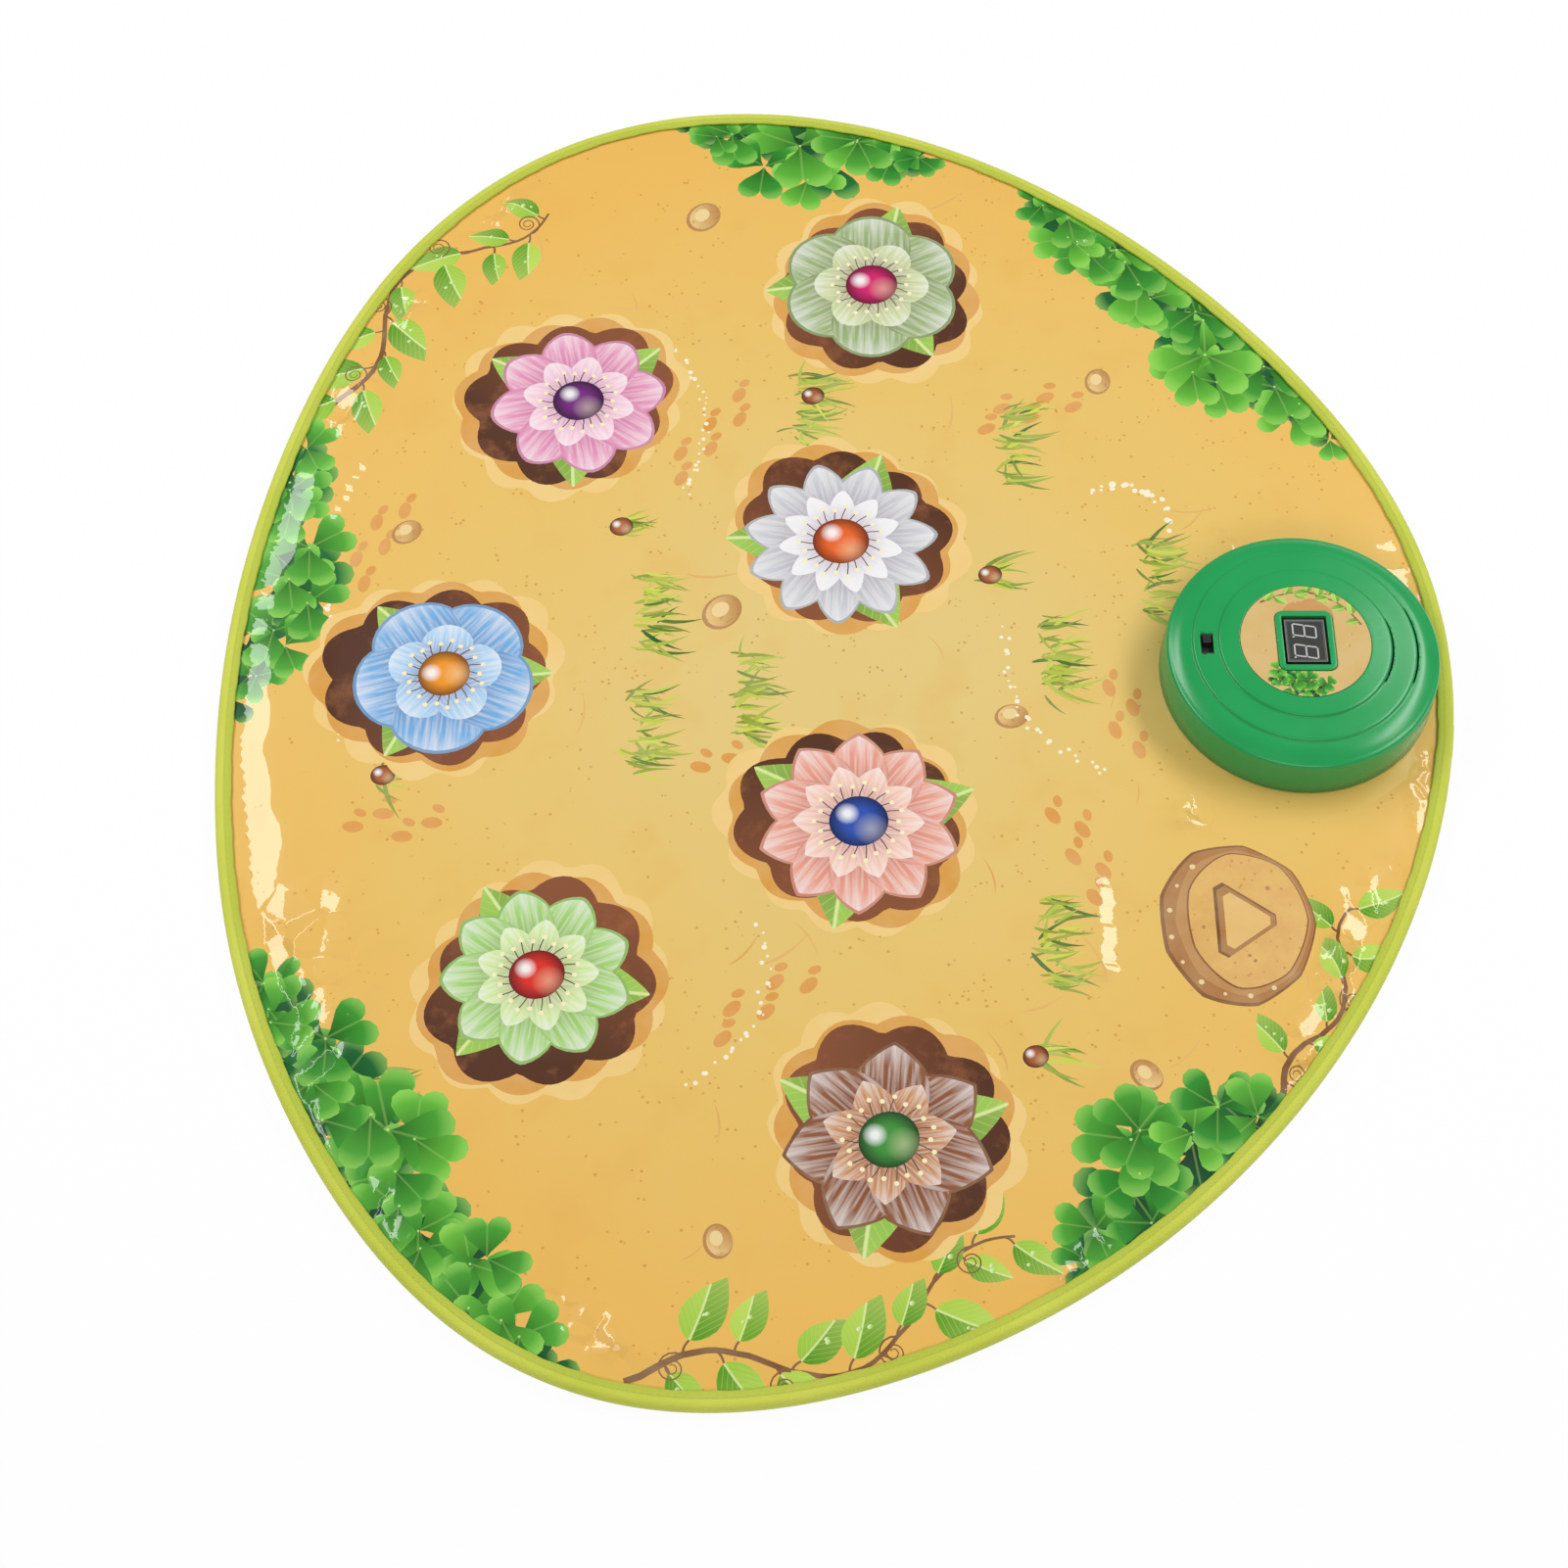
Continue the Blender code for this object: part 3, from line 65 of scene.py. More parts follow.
# %% Camera
CAMERA_PLACE = (-0.0284, -0.7743, 1.2506)
CAMERA_ELEVATION = 60.385
CAMERA_LENS = 62.96


def linked(name, data):
    """A new object in the scene, from a mesh, a lamp or a camera."""
    made = bpy.data.objects.new(name, data)
    bpy.context.scene.collection.objects.link(made)
    return made


camera = linked("photo_camera", bpy.data.cameras.new("photo_camera"))
camera.data.lens = CAMERA_LENS
camera.data.sensor_width = 36
camera.data.clip_start = 0.01
camera.location = CAMERA_PLACE
camera.rotation_euler = (math.radians(90 - CAMERA_ELEVATION), 0, 0)
bpy.context.scene.camera = camera
print("camera looks down at", CAMERA_ELEVATION, "degrees through a", CAMERA_LENS, "mm lens")

# %% [markdown]
# ## Shader helpers
#
# Every finish is a small tree of nodes. A wire stands for a node's output, and arithmetic on wires adds
# the nodes that do it, so a finish reads like a formula. A value is written into its socket, and a wire
# is linked to it.

# %% Shader helpers
def shade(*screen):
    """A colour read off a screen, 0 to 255, as the linear colour that shaders work in."""
    level = np.array(screen) / 255
    linear = np.where(level <= 0.04045, level / 12.92, ((level + 0.055) / 1.055) ** 2.4)
    return (*(float(part) for part in linear), 1.0)


def fill(node, inputs):
    """Writes or links each input of a node."""
    for key, value in inputs.items():
        if isinstance(value, Wire):
            value.tree.links.new(value.socket, node.inputs[key])
        else:
            node.inputs[key].default_value = value


def put(tree, kind, inputs=None, output=0, **settings):
    """Adds a node and gives one of its outputs. Settings come first: some of them change its sockets."""
    made = tree.nodes.new("ShaderNode" + kind)
    for name, value in settings.items():
        setattr(made, name, value)
    fill(made, inputs or {})
    return Wire(made.outputs[output])


class Wire:
    """A node's output. Each step of arithmetic on it adds a node to the same tree."""

    def __init__(self, socket):
        self.socket, self.tree = socket, socket.id_data

    def math(self, operation, *others):
        return put(self.tree, "Math", dict(enumerate((self, *others))), operation=operation)

    def __add__(self, other):
        return self.math("ADD", other)

    def __sub__(self, other):
        return self.math("SUBTRACT", other)

    def __mul__(self, other):
        return self.math("MULTIPLY", other)

    def span(self, *spans):
        """Carried from one span to another, 0 to 1 unless it is given, and held at both ends."""
        return put(self.tree, "MapRange", dict(enumerate((self, *spans))))

    def ramp(self, *stops):
        """Turned into a colour by stops of (place, colour)."""
        made = put(self.tree, "ValToRGB", {0: self})
        elements = made.socket.node.color_ramp.elements
        while len(elements) < len(stops):
            elements.new(0.5)
        for element, (place, colour) in zip(elements, stops):
            element.position, element.color = place, colour
        return made

    def texture(self, kind, output, **inputs):
        return put(self.tree, "Tex" + kind, {"Vector": self, **inputs}, output)

    def noise(self, scale, detail=2.0, roughness=0.5):
        return self.texture("Noise", 0, Scale=scale, Detail=detail, Roughness=roughness)

    def part(self, axis):
        return put(self.tree, "SeparateXYZ", {0: self}, axis)

    def grey(self):
        return put(self.tree, "CombineColor", {0: self, 1: self, 2: self})

    def through(self, group, **values):
        """Sent through a node group with this material's own values. Gives its outputs by name."""
        made = self.tree.nodes.new("ShaderNodeGroup")
        made.node_tree = group
        fill(made, {"Vector": self, **values})
        return {socket.name: Wire(socket) for socket in made.outputs}


def mixed(share, first, second, kind="MIX"):
    """Two colours mixed by a share."""
    tree = next(part.tree for part in (share, first, second) if isinstance(part, Wire))
    return put(tree, "Mix", {0: share, 6: first, 7: second}, 2, data_type="RGBA", blend_type=kind)


def far_from(u, v):
    """Distance from the middle of a frame."""
    return (u * u + v * v).math("SQRT")


def new_group(name, body, **values):
    """A node group. Its body turns its inputs, the vector first, into its outputs by name."""
    group = bpy.data.node_groups.new(name, "ShaderNodeTree")
    group.interface.new_socket("Vector", in_out="INPUT", socket_type="NodeSocketVector")
    for label, value in values.items():
        socket = group.interface.new_socket(label, in_out="INPUT", socket_type="NodeSocketFloat")
        socket.default_value = value
    entry = group.nodes.new("NodeGroupInput").outputs
    made = body(*(Wire(entry[label]) for label in ("Vector", *values)))
    for label in made:
        group.interface.new_socket(label, in_out="OUTPUT", socket_type="NodeSocketFloat")
    fill(group.nodes.new("NodeGroupOutput"), made)
    return group


def finish(name, **numbers):
    """A new material, the shader's plain numbers set, and the wire of the place on the object."""
    look = bpy.data.materials.new(name)
    look.use_nodes = True
    names = {"coat": "Coat Weight", "sheen": "Sheen Weight", "specular": "Specular IOR Level"}
    numbers = {"coat_roughness": 0.05, **numbers}
    for key, value in numbers.items():
        key = names.get(key, key.replace("_", " ").title())
        look.node_tree.nodes["Principled BSDF"].inputs[key].default_value = value
    return look, put(look.node_tree, "TexCoord", output="Object")


def painted(look, colour, height=None, strength=0.0, distance=0.0, roughness=None):
    """Sends a colour, a height and a roughness to the material's shader."""
    inputs = {"Base Color": colour}
    if height:
        bump = {"Height": height, "Strength": strength, "Distance": distance}
        inputs["Normal"] = put(look.node_tree, "Bump", bump)
    if roughness:
        inputs["Roughness"] = roughness
    fill(look.node_tree.nodes["Principled BSDF"], inputs)
    return look


# %% [markdown]
# ## Floor, backdrop and lamps
#
# The mat lies on a white floor. The floor answers the camera's own rays with white and still takes a
# faint shadow, so no extra light has to fall on the mat. The print is glossy, and a flat sheet mirrors
# one patch of the ceiling into the camera. The soft lamps hang outside that patch, on the left and on
# the right, so that only curled and creased vinyl shows them as bright streaks.

# %% Floor and backdrop
FLOOR_HALF = 6.0
FLOOR_GLOW = 0.95


def rays(tree, kind):
    return put(tree, "LightPath", output=f"Is {kind} Ray")


floor = linked("floor", bpy.data.meshes.new("floor"))
corners = [(x * FLOOR_HALF, y * FLOOR_HALF, 0) for x, y in ((-1, -1), (1, -1), (1, 1), (-1, 1))]
floor.data.from_pydata(corners, [], [(0, 1, 2, 3)])

floor_look, where = finish("floor_white", roughness=0.9)
tree = where.tree
painted(floor_look, shade(240, 240, 240))
seen = rays(tree, "Camera")
for kind in ("Glossy", "Transmission"):
    seen = seen.math("MAXIMUM", rays(tree, kind))
glow = put(tree, "Emission", {"Color": (1, 1, 1, 1), "Strength": 1.0})
matt = Wire(tree.nodes["Principled BSDF"].outputs[0])
both = put(tree, "MixShader", {0: seen * FLOOR_GLOW, 1: matt, 2: glow})
fill(tree.nodes["Material Output"], {"Surface": both})
floor.data.materials.append(floor_look)

# %% World and lamps
SKY_LEVEL = 0.34
SKY_GLOSS = 0.16
# Each soft lamp: place, what it points at, width, height and radiance
LAMPS = {
    "left_softbox": ((-1.15, 0.46, 1.27), (0, 0.1, 0), 1.70, 0.38, 6.8),
    "right_softbox": ((1.20, 0.42, 1.30), (0, 0.1, 0), 1.50, 0.44, 7.0),
    "front_softbox": ((0.1, -1.75, 1.55), (0, 0, 0), 1.6, 0.60, 3.0),
}

world = bpy.data.worlds.new("studio")
bpy.context.scene.world = world
world.use_nodes = True
tree = world.node_tree
level = rays(tree, "Glossy").math("MULTIPLY_ADD", SKY_GLOSS - SKY_LEVEL, SKY_LEVEL)
level = level.math("MAXIMUM", rays(tree, "Camera"))
fill(tree.nodes["Background"], {"Color": (1, 1, 1, 1), "Strength": level})
for name, (place, aim, width, height, radiance) in LAMPS.items():
    lamp = linked(name, bpy.data.lights.new(name, "AREA"))
    lamp.data.shape = "RECTANGLE"
    lamp.data.size, lamp.data.size_y = width, height
    # A lamp's power is its radiance times pi times its area
    lamp.data.energy = radiance * math.pi * width * height
    lamp.location = place
    lamp.rotation_euler = (Vector(aim) - Vector(place)).to_track_quat("-Z", "Y").to_euler()
bpy.context.scene.view_settings.view_transform = "Standard"
print("lamps:", *LAMPS)

# %% [markdown]
# ## The mat's edge
#
# Everything soft follows one curve: a blunt egg, whose radius swells and shrinks by a few soft waves
# as the angle goes round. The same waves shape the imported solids, so the pieces made here fit them.

# %% Edge of the mat
MAT_WIDTH, MAT_LENGTH = 657.0, 800.0
EDGE_COSINES = np.array([0, -0.1133, 0.0403, 0.0134, -0.0116, 0.0003, 0.0018, -0.0017])
EDGE_SINES = np.array([0.1652, 0.0161, -0.0151, 0.0093, 0.0050])
EDGE_CAD_POINTS = 76
EDGE_POINTS = 912


def full_turn(count):
    return np.linspace(0, 2 * np.pi, count, endpoint=False)


def ways(angles):
    """Unit vectors at the angles."""
    return np.column_stack([np.cos(angles), np.sin(angles)])


def lefts(vectors):
    """The vectors turned left by a quarter turn."""
    return np.column_stack([-vectors[:, 1], vectors[:, 0]])


def running(loop):
    """Distance along a closed loop at each of its points, and at its start again."""
    return np.concatenate([[0], np.cumsum(np.hypot(*(np.roll(loop, -1, 0) - loop).T))])


def egg(angles):
    """Radius 1 plus a sum of cosine and sine waves of the angle, as points on the plane."""
    cosines = np.cos(np.outer(angles, np.arange(1, len(EDGE_COSINES) + 1))) @ EDGE_COSINES
    sines = np.sin(np.outer(angles, np.arange(1, len(EDGE_SINES) + 1))) @ EDGE_SINES
    return ways(angles) * (1 + cosines + sines)[:, None]


def edge_curve(count):
    """The egg, scaled to the mat's size, evenly spaced along its length."""
    coarse = egg(full_turn(EDGE_CAD_POINTS))
    low, high = coarse.min(0), coarse.max(0)
    fine = ((egg(full_turn(20000)) - low) / (high - low) - 0.5) * (MAT_WIDTH, MAT_LENGTH)
    way = running(fine)
    closed = np.vstack([fine, fine[:1]])
    marks = np.linspace(0, way[-1], count, endpoint=False)
    return np.column_stack([np.interp(marks, way, closed[:, axis]) for axis in (0, 1)]), marks, way[-1]


def unit_lefts(along):
    return lefts(along / np.hypot(*along.T)[:, None])


def inward(curve):
    """Unit normals that point into a closed curve that runs anticlockwise."""
    return unit_lefts(np.roll(curve, -1, 0) - np.roll(curve, 1, 0))


EDGE, EDGE_WAY, EDGE_LENGTH = edge_curve(EDGE_POINTS)
EDGE_IN = inward(EDGE)
print("edge length", round(EDGE_LENGTH), "mm")


def from_edge(points):
    """How far inside the edge each point is, and how far along it, taken at the nearest sample."""
    parts = np.array_split(points, max(1, len(points) // 1500))
    nearest = np.concatenate([((part[:, None] - EDGE) ** 2).sum(2).argmin(1) for part in parts])
    offset = points - EDGE[nearest]
    along = -lefts(EDGE_IN[nearest])
    return (offset * EDGE_IN[nearest]).sum(1), EDGE_WAY[nearest] + (offset * along).sum(1)


# %% [markdown]
# ## How the vinyl lies
#
# The printed sheet is stitched under a tape at its edge and holds foam below, so it isn't flat: it
# rolls up a little inside the tape, it is drawn into short puckers by the stitches, and where it was
# folded for the box it keeps flat facets between sharp creases. A cloth simulation wouldn't place those
# where the photograph has them, so the height is a formula: waves, facets and folds, each kept to its
# own place.

# %% Height of the sheet
UNIT_X = 244.7
UNIT_MIDDLE = np.array([UNIT_X, 0.0])
SHEET_TOP = 6.7
LOWEST_WAVE = -0.45
CROWN = 1.2
TARGET_RADIUS, SELECT_RADIUS = 52.0, 38.0
ZONES = {
    "target_1": (-214.8, 0.0, TARGET_RADIUS),
    "target_2": (-149.8, 182.0, TARGET_RADIUS),
    "target_3": (-149.8, -182.0, TARGET_RADIUS),
    "target_4": (25.0, 262.0, TARGET_RADIUS),
    "target_5": (25.0, -262.0, TARGET_RADIUS),
    "target_6": (5.3, 90.0, TARGET_RADIUS),
    "target_7": (5.3, -90.0, TARGET_RADIUS),
    "select": (201.7, -150.0, SELECT_RADIUS),
}
TAPE_LIP = 8.5
# The roll inside the tape is steepest at the left, about this far along the edge
ROLL_MIDDLE, ROLL_REACH, ROLL_BEND, ROLL_FADE = 1297, 122, 3.2, 38
PUCKER_PITCH = 19
# Creased places: middle, reach along and across, turn, steepness and facet size
CREASES = (
    (-280, -165, 40, 31, 0.5, 0.17, 20),
    (-262, -226, 27, 22, 1.1, 0.18, 20),
    (-277, 179, 22, 12, 0.9, 0.20, 12),
    (-246, 246, 16, 9, 0.8, 0.18, 9),
    (262, -160, 34, 17, 1.2, 0.22, 15),
    (236, -212, 26, 14, 0.9, 0.20, 16),
    (186, -84, 10, 9, 1.2, 0.24, 10),
    (306, -66, 26, 7, 1.45, 0.22, 9),
    (-120, -360, 26, 10, 2.6, 0.20, 11),
    (-196, 322, 20, 8, 0.7, 0.20, 10),
    (150, 296, 22, 7, -0.9, 0.18, 10),
    (118, -324, 22, 8, 0.5, 0.20, 10),
    (-222, -300, 24, 11, -0.8, 0.20, 11),
    (-268, -198, 26, 20, 0.2, 0.18, 18),
)
CREASE_LEAN = 0.15
# Folds: middle, half length, width and slope of the steep side, and the way it faces
FOLDS = (
    (132, -150, 33, 7.5, 0.27, 0.0),
    (214, 86, 15, 5.5, 0.30, 0.5),
    (250, -166, 15, 11, 0.27, 0.2),
    (180, -86, 10, 8.5, 0.27, 0.15),
    (-268, 118, 26, 4.5, 0.16, 2.8),
    (-252, -262, 22, 4.5, 0.17, 3.5),
)
FOLD_BACK, FOLD_END = 16, 9


def smooth(value, low, high):
    """0 below low, 1 above high, and an S curve between them."""
    share = np.clip((value - low) / (high - low), 0, 1)
    return share * share * (3 - 2 * share)


def bell(*ratios):
    """1 in the middle, falling off as the natural exponential of minus each ratio's square."""
    return np.exp(-sum(ratio ** 2 for ratio in ratios))


def framed(points, x, y, turn):
    """Points as they lie in a frame with its middle at x, y, turned by an angle."""
    dx, dy = points[:, 0] - x, points[:, 1] - y
    return dx * np.cos(turn) + dy * np.sin(turn), dy * np.cos(turn) - dx * np.sin(turn)


def crumple(points, reach, facet, number):
    """Flat facets that meet in sharp creases. The square of the distance to the nearest of one set of
    seeds, less the same for a second set, is flat wherever both nearest seeds stay the same."""
    rng = np.random.default_rng(number)
    span_of = np.arange(-1.6 * reach, 1.6 * reach, facet)
    grid = np.stack(np.meshgrid(span_of, span_of), -1).reshape(-1, 2)
    seeds = [grid + rng.uniform(-0.48, 0.48, grid.shape) * facet for turn in range(2)]
    first, second = (((points[:, None] - part) ** 2).sum(2).min(1) for part in seeds)
    return (first - second) / facet


def roll_height(inset, way):
    """The sheet's roll inside the tape: a flat foot, a climb, and a bend that levels out and fades."""
    turn = 2 * np.pi * way / EDGE_LENGTH
    wander = 1.8 * np.sin(7 * turn + 0.6) + 1.2 * np.sin(23 * turn) + 0.8 * np.sin(61 * turn + 1)
    across = np.clip(inset - TAPE_LIP, 0, None)
    left = bell((way - ROLL_MIDDLE) / ROLL_REACH)
    steep = 0.075 + 0.090 * left + 0.022 * np.sin(5 * turn + 1.0) + 0.012 * np.sin(13 * turn)
    foot, wide = 4.5 + 0.6 * wander + 2.5 * left, 10.5 + wander + 2.0 * left
    past = np.clip(across - foot - wide, 0, None)
    climb = 0.03 * np.minimum(across, foot) + steep * np.clip(across - foot, 0, wide)
    roll = (climb + ROLL_BEND * steep * (1 - np.exp(-past / ROLL_BEND))) * bell(past / ROLL_FADE)
    pucker = 0.14 * np.sin(2 * np.pi * way / PUCKER_PITCH + 2.2 * np.sin(way / 47)) * np.exp(-across / 14)
    return roll + pucker * smooth(inset, TAPE_LIP, 12) * (0.6 + 0.4 * np.sin(way / 61))


def crease_height(points):
    """Crumpled places, and folds with one steep side."""
    height = np.zeros(len(points))
    for number, (place_x, place_y, long, short, lean, steepness, facet) in enumerate(CREASES):
        u, v = framed(points, place_x, place_y, lean)
        near = np.clip(1.5 * bell(u / long, v / short) - 0.06, 0, 1)
        chosen = near > 0
        facets = steepness * crumple(np.column_stack([u, v])[chosen], long, facet, number)
        leaning = -math.copysign(CREASE_LEAN, place_x) * (points[:, 0] - place_x)[chosen]
        height[chosen] += near[chosen] * (facets + leaning)
    for place_x, place_y, reach, wide, slope, facing in FOLDS:
        across, along = framed(points, place_x, place_y, facing)
        across += 0.9 * np.sin(along * 0.31) + 0.5 * np.sin(along * 0.83 + place_x)
        fade = smooth(reach - np.abs(along), 0, FOLD_END)
        back = np.exp(np.minimum(across, 0) / FOLD_BACK)
        height += slope * fade * np.clip(wide - np.maximum(across, 0), 0, None) * back
    return height


def sheet_height(points):
    """Level sheet, plus crowned targets, plus waves that fade out at the targets and at the unit."""
    x, y = points.T
    inset, way = from_edge(points)
    crown = np.zeros(len(points))
    calm = smooth(np.hypot(x - UNIT_X, y), 74, 88)
    for middle_x, middle_y, radius in ZONES.values():
        reach = np.hypot(x - middle_x, y - middle_y)
        crown += CROWN * np.clip(1 - (reach / radius) ** 2, 0, None) ** 2
        calm *= smooth(reach, radius + 1, radius + 12)
    swell = 0.20 * np.sin(x / 37 + 1.3 * np.sin(y / 61)) * np.sin(y / 43 + 0.8)
    swell += 0.10 * np.sin((x + y) / 23 + 2 * np.sin((x - y) / 57))
    waves = roll_height(inset, way) + swell * smooth(inset, 9, 40)
    waves += crease_height(points) * smooth(inset, 9, 13)
    return SHEET_TOP + crown + np.maximum(waves * calm, LOWEST_WAVE)


def sheet_normals(points, step=0.15):
    """Unit normals of the sheet, from how its height changes over a small step each way."""
    slopes = [sheet_height(points + way) - sheet_height(points - way) for way in step * np.eye(2)]
    normal = np.column_stack([-slopes[0], -slopes[1], np.full(len(points), 2 * step)])
    return normal / np.linalg.norm(normal, axis=1)[:, None]


# %% [markdown]
# ## Forms for the print
#
# The print is flat artwork: leaves, clovers, flowers, grass and pebbles on sand. An image can't be
# used, so each motif is a closed outline, and a whole family of outlines is placed at once: turned,
# scaled and moved as arrays. A motif also carries its own frame, so its shader can draw a midrib or a
# petal's streaks along it, whichever way it is turned.

# %% Outlines of the motifs
def blade(width, start, sharpness, bend=0.0, count=12):
    """A leaf or petal along X from 0 to 1: half its width is width times a sine of the length, both
    raised to powers that move the widest place and sharpen the ends, about a spine that bends."""
    along = (1 - np.cos(np.linspace(0, np.pi, count))) / 2
    half = width * np.clip(np.sin(np.pi * along ** start), 0, None) ** sharpness
    spine = bend * along ** 2
    upper = np.column_stack([along, spine + half])
    lower = np.column_stack([along, spine - half])[-2:0:-1]
    return np.vstack([lower[::-1], upper[::-1]])


def disc(count=20, stretch=1.0):
    return ways(full_turn(count)) * (1, stretch)


def heart(count=22):
    """The classic heart curve of sine cubed and four cosines, lying on its side with its tip at 0."""
    turn = full_turn(count)
    lobe = 13 * np.cos(turn) - 5 * np.cos(2 * turn) - 2 * np.cos(3 * turn) - np.cos(4 * turn)
    return np.column_stack([(lobe + 17) / 29, -16 * np.sin(turn) ** 3 / 29])


def torn(bites, depth, phase, count=96):
    """A hole's rim: a circle with round bites between points, and a slower swell."""
    turn = full_turn(count)
    radius = 1 - depth * (1 - np.abs(np.sin(bites * turn / 2 + phase)))
    radius += 0.05 * np.sin(2 * turn + phase) + 0.04 * np.sin(3 * turn - 2 * phase)
    return ways(turn) * radius[:, None]


def slice_outline(half_x, half_y, sides, count=72):
    """An uneven cut: an ellipse whose sides are a little flattened, as a knife leaves them."""
    turn = full_turn(count)
    edge = 1 - 0.030 * np.abs(np.sin(sides * turn / 2)) + 0.018 * np.sin(3 * turn + 0.7)
    return ways(turn) * (np.array([half_x, half_y]) * edge[:, None])


def ribbon(path, width, taper=0.6):
    """A stem: a path given a width that shrinks towards its end."""
    half = width / 2 * (1 - taper * np.linspace(0, 1, len(path)))[:, None]
    side = unit_lefts(np.gradient(path, axis=0)) * half
    return np.vstack([path - side, (path + side)[::-1]])


def arc_path(start, end, bow, count=18):
    """A path from start to end that bows to one side by half a sine."""
    start, reach = np.array(start, float), np.subtract(end, start)
    share = np.linspace(0, 1, count)
    return start + np.outer(share, reach) + np.outer(bow * np.sin(np.pi * share), (-reach[1], reach[0]))


LEAF = blade(0.30, 0.72, 0.85, bend=0.10, count=13)
GRASS = blade(0.050, 0.60, 0.80, bend=0.34, count=8)
RIPPLE = blade(0.030, 0.8, 0.8, bend=0.42, count=11)
CLOVER = heart()
SQUARE = np.array([(-1, -1), (1, -1), (1, 1), (-1, 1)])
curl_turn = np.linspace(0, 4.4 * np.pi, 34)
curl = ways(curl_turn) * (8 * np.exp(-curl_turn / 9))[:, None]
TENDRIL = ribbon(curl - curl[0], 0.9, 0.4)
print("outlines:", len(LEAF), "points in a leaf,", len(CLOVER), "in a clover lobe")

# %% Ink list
INK_KINDS = ("sand", "earth", "leaf", "clover", "petal", "ball", "plain", "pebble", "drop", "stone")
INK_PARTS = ("outline", "kind", "frame", "tint")
mat_page, label_page, display_page = ({part: [] for part in INK_PARTS} for page in range(3))
page = mat_page
dice = np.random.default_rng(7)


def lay(kind, outline, middle=(0, 0), turn=0.0, size=1.0, tint=(1, 1, 1)):
    """Prints copies of an outline. Later inks lie on top of earlier ones."""
    count = max(len(np.atleast_2d(middle)), np.size(turn), np.size(size))
    middle = np.broadcast_to(np.asarray(middle, float), (count, 2))
    turn, size = (np.broadcast_to(np.asarray(part, float), count) for part in (turn, size))
    colour = np.broadcast_to(np.asarray(tint, float)[..., :3], (count, 3))
    cosine, sine, (x, y) = np.cos(turn), np.sin(turn), outline.T
    turned = [np.outer(cosine, x) - np.outer(sine, y), np.outer(sine, x) + np.outer(cosine, y)]
    page["outline"] += list(middle[:, None] + size[:, None, None] * np.stack(turned, -1))
    page["kind"] += [INK_KINDS.index(kind)] * count
    page["frame"] += list(np.column_stack([middle, turn, size]))
    page["tint"] += list(colour)


def between(first, second, share):
    """Colours between two screen colours, by an array of shares."""
    first, second = np.array(shade(*first)[:3]), np.array(shade(*second)[:3])
    return first + (second - first) * np.asarray(share, float)[:, None]


# %% [markdown]
# ## Laying out the print
#
# The ground is sand. Each target shows a burrow with one flower in it, and every flower differs in
# its petals and colours. Clover beds and leafy twigs take turns along the edge. Grass, pebbles and
# dotted trails fill the sand between. The layout is this lesson's own.

# %% Sand, pebbles and trails
RIPPLES = 46
PEBBLES = np.array([(-236, 92), (-76, 318), (150, 196), (92, -26), (150, -232), (-60, -318), (-62, 40)])
# Each trail of footprints: start, heading and number of prints
FOOTPRINTS = (
    ((-90, 132), 0.9, 6), ((-262, 60), 1.2, 5), ((-70, -52), -0.4, 6), ((116, -84), -1.2, 5),
    ((-62, -208), 0.6, 5), ((84, 168), 0.3, 5), ((-250, -88), -0.2, 4), ((150, -8), -1.5, 4),
)
FOOTPRINT_STEP, FOOTPRINT_GAUGE = 13, 11
# Each trail of white grains: start, end, bow, number of grains and largest size
GRAIN_TRAILS = (
    ((-96, 228), (-84, 118), 0.15, 34, 1.5), ((92, 30), (140, -60), -0.2, 30, 1.5),
    ((-286, 60), (-262, -40), 0.12, 34, 1.5), ((-40, -150), (-76, -236), 0.2, 26, 1.5),
    ((140, 120), (186, 92), 0.3, 22, 2.2),
)

middles = dice.uniform((-270, -330), (250, 330), (RIPPLES, 2))
turns = dice.uniform(-0.5, 0.5, RIPPLES) + dice.choice([0, np.pi / 2], RIPPLES)
tints = between((228, 172, 88), (236, 188, 104), dice.random(RIPPLES))
lay("plain", RIPPLE, middles, turns, dice.uniform(13, 30, RIPPLES), tints)
for start, heading, count in FOOTPRINTS:
    step, way = np.arange(count), ways(heading)
    gauge = np.outer((step % 2 - 0.5) * FOOTPRINT_GAUGE, lefts(way))
    middles = np.array(start) + np.outer(step * FOOTPRINT_STEP, way) + gauge
    lay("plain", disc(16, 0.60), middles, heading + 0.2, 5.6, shade(228, 160, 76))
    lay("plain", disc(12, 0.66), middles + (3, 8.5), heading - 0.2, 3.6, shade(228, 160, 76))
turns, sizes = dice.uniform(0, 3, len(PEBBLES)), dice.uniform(7.5, 11, len(PEBBLES))
lay("plain", disc(26, 0.80), PEBBLES, turns, sizes * 1.15, shade(186, 132, 70))
lay("pebble", disc(26, 0.80), PEBBLES + (0.7, 0.5), turns, sizes, shade(240, 204, 134))
lay("plain", disc(20, 0.80), PEBBLES + (-0.8, 1.6), turns, sizes * 0.5, shade(244, 214, 150))
for start, end, bow, count, largest in GRAIN_TRAILS:
    strewn = arc_path(start, end, bow, count) + dice.normal(0, 1.6, (count, 2))
    lay("plain", disc(8), strewn, 0, dice.uniform(0.35, 1, count) * largest, shade(255, 246, 218))

# %% Grass and nuts
GRASS_PLACES = (
    (-104, 40), (-108, -36), (96, 150), (104, -160), (112, 12),
    (-232, -252), (170, 60), (-20, 176), (-52, -12),
)
NUTS = ((-118, 96), (84, 64), (-238, -62), (96, -222), (-12, 186))


